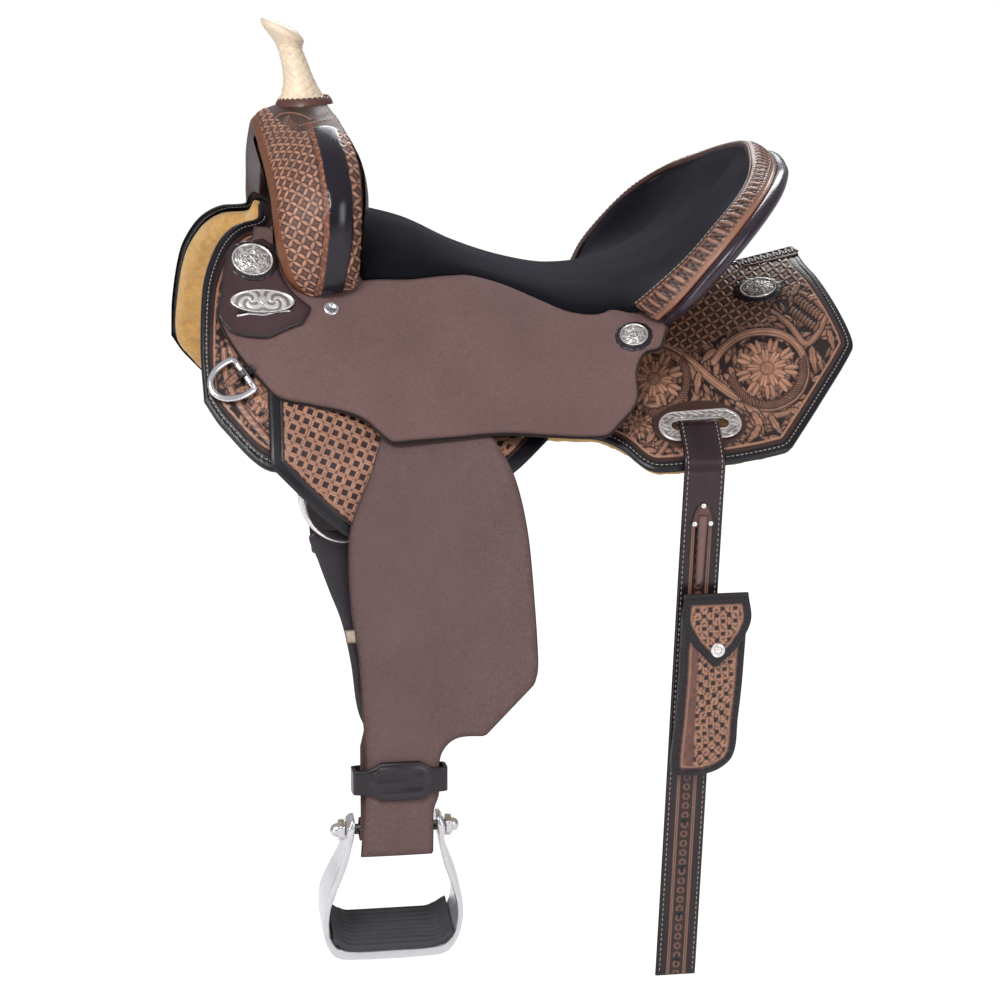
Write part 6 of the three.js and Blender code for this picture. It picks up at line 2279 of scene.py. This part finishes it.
def make_off_billet():
    """The off side's short strap and buckle."""
    path = np.vstack([BILLET_TOP, np.c_[np.full(20, 243.7), np.linspace(-135.5, -153, 20)]])
    strap = billet_strap("flank_billet_body", path, 31)
    half, top, bottom = 24.5, -147, -182
    middle = (top + bottom) / 2
    ring = smooth_poly([[BILLET_Y - half, top, 1], [BILLET_Y + half, top, 1],
                        [BILLET_Y + half + 1, middle], [BILLET_Y + half, bottom, 1],
                        [BILLET_Y - half, bottom, 1], [BILLET_Y - half - 1, middle]], 2)
    buckle = outward(build("billet_buckle", *tube(np.c_[np.full(len(ring), 246.), ring],
                                                  (2.6, 2.6), 12, closed=True,
                                                  up=(1, 0, 0))))
    tongue = outward(build("billet_tongue", *tube(
        [[247, 72, -149], [249.4, 72, -165], [249, 72, -181.5]], (1.6, 1.6), 10)))
    buckle = join([buckle, tongue], "buckle")
    transform(strap, MIRROR @ BILLET_SLANT)
    transform(buckle, MIRROR @ BILLET_SLANT)
    strap.name, buckle.name = "flank_billet_look_off", "billet_buckle_look_off"
    put(strap, "dark", "billet_off", "flank_billet_off")
    put(buckle, "steel", "billet_off")


def make_billet_stitches():
    flat = path_normals(billet_path)
    normal = np.c_[flat[:, 0], np.zeros(len(flat)), flat[:, 1]]
    for side, letter in ((-1, "a"), (1, "b")):
        y = np.full(len(flat), BILLET_Y + side * 15.6)
        line = np.c_[billet_path[:, 0], y, billet_path[:, 1]] + normal * 3.95
        thread = sew("billet_stitch_" + letter, [(line[2:-3], normal[2:-3])],
                     length=3.0, gap=1.8, radius=.5, lift=.0)
        put(transform(thread, BILLET_SLANT), "thread", "billet_near")


def make_billet_tab():
    """Riveted tab with a hanging tongue above the case."""
    tone = rgb(96, 62, 58)
    outline = smooth_poly([[72, -160, 1], [78, -166], [82.5, -180, 1], [76, -184],
                           [68, -184], [61.5, -180, 1], [66, -166]], 1.5)
    tab = sheet("billet_tab", lift_side(lambda y, z: 249.4 + 0 * y), outline, 2., 1.8,
                plain_tool(tone, .5), base=tone, edge_r=.8)
    tone = rgb(112, 84, 78)
    outline = smooth_poly([[67.4, -172, 1], [76.6, -172, 1], [75.6, -235, 1],
                           [68.4, -238, 1]], 2)
    tongue = sheet("billet_tongue_strap",
                   lift_side(lambda y, z: 250.9 + .6 * np.sin((z + 184) * .03)), outline, 2.,
                   1.7, plain_tool(tone, .7), base=tone, edge_r=.7)
    put(transform(join([tab, tongue], "billet_tab_look"), BILLET_SLANT), "dark",
        "billet_near")
    rivets = [domed_disc("rivet", side_frame(249.8, y, z), 2.3, 2.3, .8,
                         lambda r, angle, x, y: 1 + 0 * r, rings=8, seg=20, rim=.2, dome=.9)
              for y, z in ((72, -163.5), (64.5, -180), (79.5, -180))]
    put(transform(join(rivets, "billet_rivets"), BILLET_SLANT), "silver", "billet_near")


def make_billets():
    near = billet_strap("flank_billet_look_near", billet_path, 61)
    put(transform(near, BILLET_SLANT), "dark", "billet_near", "flank_billet_near")
    make_off_billet()
    make_billet_stitches()
    make_billet_tab()


# ---------------------------------------------------------------- case on the near billet
CASE_TOP = -248
CASE = [[51, -300], [50, -330], [47, -380], [43.5, -430], [46, -441], [80, -441],
        [101, -424], [106, -380], [110, -330], [112, -256], [106, -248], [58, -248]]
CASE = [[y, CASE_TOP + (z - CASE_TOP) * .845] for y, z in CASE]     # shortened below its top
FLAP = [[52.5, -244, 1], [112.5, -244, 1], [115, -268], [104, -290], [90, -304], [82, -310],
        [75, -304], [60, -287], [51, -268]]
CASE_SHIFT = Matrix.Translation((0, .0105, 0))
lift_case = lift_side(lambda y, z: 260.4 + 1.6 * np.cos(np.clip((y - 78) / 34, -1, 1) * 1.2))
lift_flap = lift_side(lambda y, z: 265.4 + .8 * np.cos(np.clip((y - 82) / 32, -1, 1) * 1.3))


def case_links(flat, origin, angle, depth):
    return links(flat - origin, pitch=11.6, angle=angle, depth=depth, light=TAN * .95,
                 dark=DARK * 1.2)


def case_rim(dist, height, col, rough, band, line, width):
    height, col = flat_band(dist, col, height, band, band + .4, MID * .6)
    height, col = band_line(dist, col, height, line, 1.2, TAN * .75, .3)
    return border(dist, col, height, rough, width)


def case_tool(flat, points, dist):
    """Links behind a plain, worn front strip."""
    y, z = flat[:, 0], flat[:, 1]
    height, col, rough = case_links(flat, [80, -250], .09, 1.1)
    plain = fade(-.5, .5, y - (67 + (z + 300) * .035))
    worn = (MID * 1.05)[None] * (.7 + .6 * noise2(y * .25, z * .25, 41)[:, None])
    height, col = height * (1 - plain), mix(col, worn, plain)
    return case_rim(dist, height, col, rough, band=8.6, line=9.2, width=7.)


def flap_tool(flat, points, dist):
    return case_rim(dist, *case_links(flat, [82, -250], .03, 1.), band=8.4, line=9.,
                    width=7.2)


def make_case_stitch(name, outline, lift, below, body):
    lines = inset_line(outline, 3.9, lift, lambda c: c[:, 1] < below)
    thread = sew(name, lines, length=2.9, gap=1.4, radius=.5, lift=-.1)
    put(transform(thread, CASE_SHIFT), "thread_dark", body)


def snap_relief(r, angle, x, y):
    return .9 - 1.6 * ((r > .45) & (r < .58))


def make_case():
    outline = smooth_poly(CASE, 2.5)
    body = sheet("case_body_look", lift_case, outline, 1.5, 12.6, case_tool, edge_r=3.,
                 rim_col=BLACK, base=rgb(30, 24, 26))
    put(transform(body, CASE_SHIFT), "tool", "billet_near", "case_body")
    make_case_stitch("case_stitch", outline, lift_case, -262, "billet_near")

    outline = smooth_poly(FLAP, 2)
    flap = sheet("case_flap_body", lift_flap, outline, 1.5, 2.8, flap_tool, rim_col=BLACK,
                 base=rgb(40, 28, 28), edge_r=1.2)
    hem = sheet("case_hem", lift_side(lambda y, z: 265.8 - .12 * np.clip(z + 244, 0, 9) ** 2),
                [[52.5, -246.], [112.5, -246.], [112.5, -240.6], [52.5, -240.6]], 2., 16,
                plain_tool(rgb(34, 26, 30), .35), rim_col=BLACK, edge_r=1.5)
    put(transform(join([flap, hem], "case_flap_look"), CASE_SHIFT), "tool", "flap_near",
        "case_flap")
    make_case_stitch("flap_stitch", outline, lift_flap, -247, "flap_near")
    snap = domed_disc("case_snap_look", side_frame(266.4, 84, -294.), 6.6, 6.6, 1.,
                      snap_relief, rings=20, seg=48, rim=.16, dome=1.6)
    put(transform(snap, CASE_SHIFT), "silver", "flap_near")


# ---------------------------------------------------------------- frame pieces
def dress_frame():
    """The frame's own pieces keep their shape and take plain materials."""
    MATERIALS["plain_rough"] = leather("roughout_plain", rgb(92, 70, 64), rough=.92, bump=.5,
                                       vary=.1, speckle=.2, grain=1500., sheen=.2)
    MATERIALS["plain_dark"] = leather("dark_plain", rgb(66, 44, 38), rough=.5, bump=.1,
                                      vary=.15, coat=.2, grain=1200.)
    MATERIALS["plain_tool"] = leather("tooled_plain", rgb(118, 78, 60), rough=.5, bump=.1,
                                      vary=.15, coat=.2, grain=1200.)
    by_start = (("tree_", "wood"), ("seat_strainer", "tin"), ("horn_post", "tin"),
                ("ground_seat", "plain_rough"), ("stirrup_leather_top", "plain_rough"),
                ("cantle_back", "plain_tool"))
    for name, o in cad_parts.items():
        dress(o, next((m for start, m in by_start if name.startswith(start)), "plain_dark"))


# ---------------------------------------------------------------- world, lights, floor, camera
def make_world():
    """White behind the saddle; soft light that grows with height."""
    world = bpy.context.scene.world or bpy.data.worlds.new("studio")
    bpy.context.scene.world = world
    world.use_nodes = True
    tree = world.node_tree
    tree.nodes.clear()
    out, light, backdrop, choose, path, coords, split, grade = (
        tree.nodes.new("ShaderNode" + kind)
        for kind in ("OutputWorld", "Background", "Background", "MixShader", "LightPath",
                     "TexCoord", "SeparateXYZ", "MapRange"))
    tree.links.new(coords.outputs["Generated"], split.inputs[0])
    tree.links.new(split.outputs[2], grade.inputs[0])
    # from height -.4 to .8, to strength .11 to .44
    for i, value in enumerate((-.4, .8, .11, .44), start=1):
        grade.inputs[i].default_value = value
    tree.links.new(grade.outputs[0], light.inputs[1])
    light.inputs[0].default_value = (.95, .97, 1.05, 1)
    backdrop.inputs[0].default_value = (1, 1, 1, 1)
    backdrop.inputs[1].default_value = 1.
    tree.links.new(path.outputs["Is Camera Ray"], choose.inputs[0])
    tree.links.new(light.outputs[0], choose.inputs[1])
    tree.links.new(backdrop.outputs[0], choose.inputs[2])
    tree.links.new(choose.outputs[0], out.inputs[0])


def make_light(name, place, width, height, watts):
    """Rectangular light, placed in metres, facing the saddle."""
    lamp = bpy.data.lights.new(name, 'AREA')
    lamp.shape = 'RECTANGLE'
    lamp.size, lamp.size_y = width, height
    lamp.energy = watts
    lamp.color = (1, 1, 1)
    o = bpy.data.objects.new(name, lamp)
    bpy.context.scene.collection.objects.link(o)
    o.location = place
    way = Vector((0, -.059, -.203)) - Vector(place)
    o.rotation_euler = way.to_track_quat('-Z', 'Y').to_euler()
    o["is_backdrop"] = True


def make_floor():
    half, z = 14., -.634                        # metres
    mesh = bpy.data.meshes.new("floor")
    mesh.from_pydata([(-half, -half, z), (half, -half, z), (half, half, z), (-half, half, z)],
                     [], [(0, 1, 2, 3)])
    floor = bpy.data.objects.new("floor", mesh)
    bpy.context.scene.collection.objects.link(floor)
    m, tree, shader = new_material("floor_pale")
    shader.inputs["Base Color"].default_value = (.95, .95, .96, 1)
    shader.inputs["Roughness"].default_value = .95
    glow = tree.nodes.new("ShaderNodeEmission")
    path = tree.nodes.new("ShaderNodeLightPath")
    choose = tree.nodes.new("ShaderNodeMixShader")
    glow.inputs[0].default_value = (1, 1, 1, 1)
    glow.inputs[1].default_value = 1.14
    # the camera sees mostly glow, so shadows stay faint
    tree.links.new(math_node(tree, 'MULTIPLY', path.outputs["Is Camera Ray"], .86),
                   choose.inputs[0])
    tree.links.new(shader.outputs[0], choose.inputs[1])
    tree.links.new(glow.outputs[0], choose.inputs[2])
    out = next(n for n in tree.nodes if n.type == 'OUTPUT_MATERIAL')
    tree.links.new(choose.outputs[0], out.inputs[0])
    floor.data.materials.append(m)
    floor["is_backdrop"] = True


def make_camera():
    data = bpy.data.cameras.new("camera")
    camera = bpy.data.objects.new("camera", data)
    bpy.context.scene.collection.objects.link(camera)
    camera.location = Vector(EYE.tolist()) * .001
    camera.rotation_euler = (-Vector(TOWARD_EYE.tolist())).to_track_quat('-Z', 'Y').to_euler()
    data.sensor_width = 36
    data.lens = 36 * PLANE_DISTANCE / PLANE_WIDTH
    data.clip_start, data.clip_end = .05, 60
    bpy.context.scene.camera = camera
    camera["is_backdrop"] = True
    bpy.context.scene.view_settings.view_transform = 'Standard'


# ---------------------------------------------------------------- everything, in order
make_skirts()
make_fleece()
make_jockeys()
make_seat()
make_cantle()
make_skirt_lacing()
make_swell()
make_gullet()
make_horn()
make_horn_collar()
make_front_plate()
make_conchos()
make_jockey_screw()
make_plate_slot()
make_rigging()
make_rigging_dee()
make_ties()
make_fenders()
make_stirrup_leathers()
make_hobble()
make_stirrup_frames()
make_stirrup_bolts()
make_treads()
make_breast_dee()
make_dee_keeper()
make_slot_plate()
make_billets()
make_case()
dress_frame()
make_world()
make_light("key", (2.3, -1.3, 1.9), width=1.1, height=1.1, watts=62)
make_light("fill", (2.6, 1.5, .7), width=.7, height=1.8, watts=21)
make_light("strip", (1.7, -2.4, .5), width=.35, height=1.7, watts=19)
make_light("back", (-2.2, .5, 1.7), width=1.5, height=1.2, watts=42)
make_floor()
make_camera()

bpy.context.view_layer.update()
vis_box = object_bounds()
tolist = lambda b: [[float(c) for c in v] for v in b]
{"cad": tolist(cad_box), "visual": tolist(vis_box)}
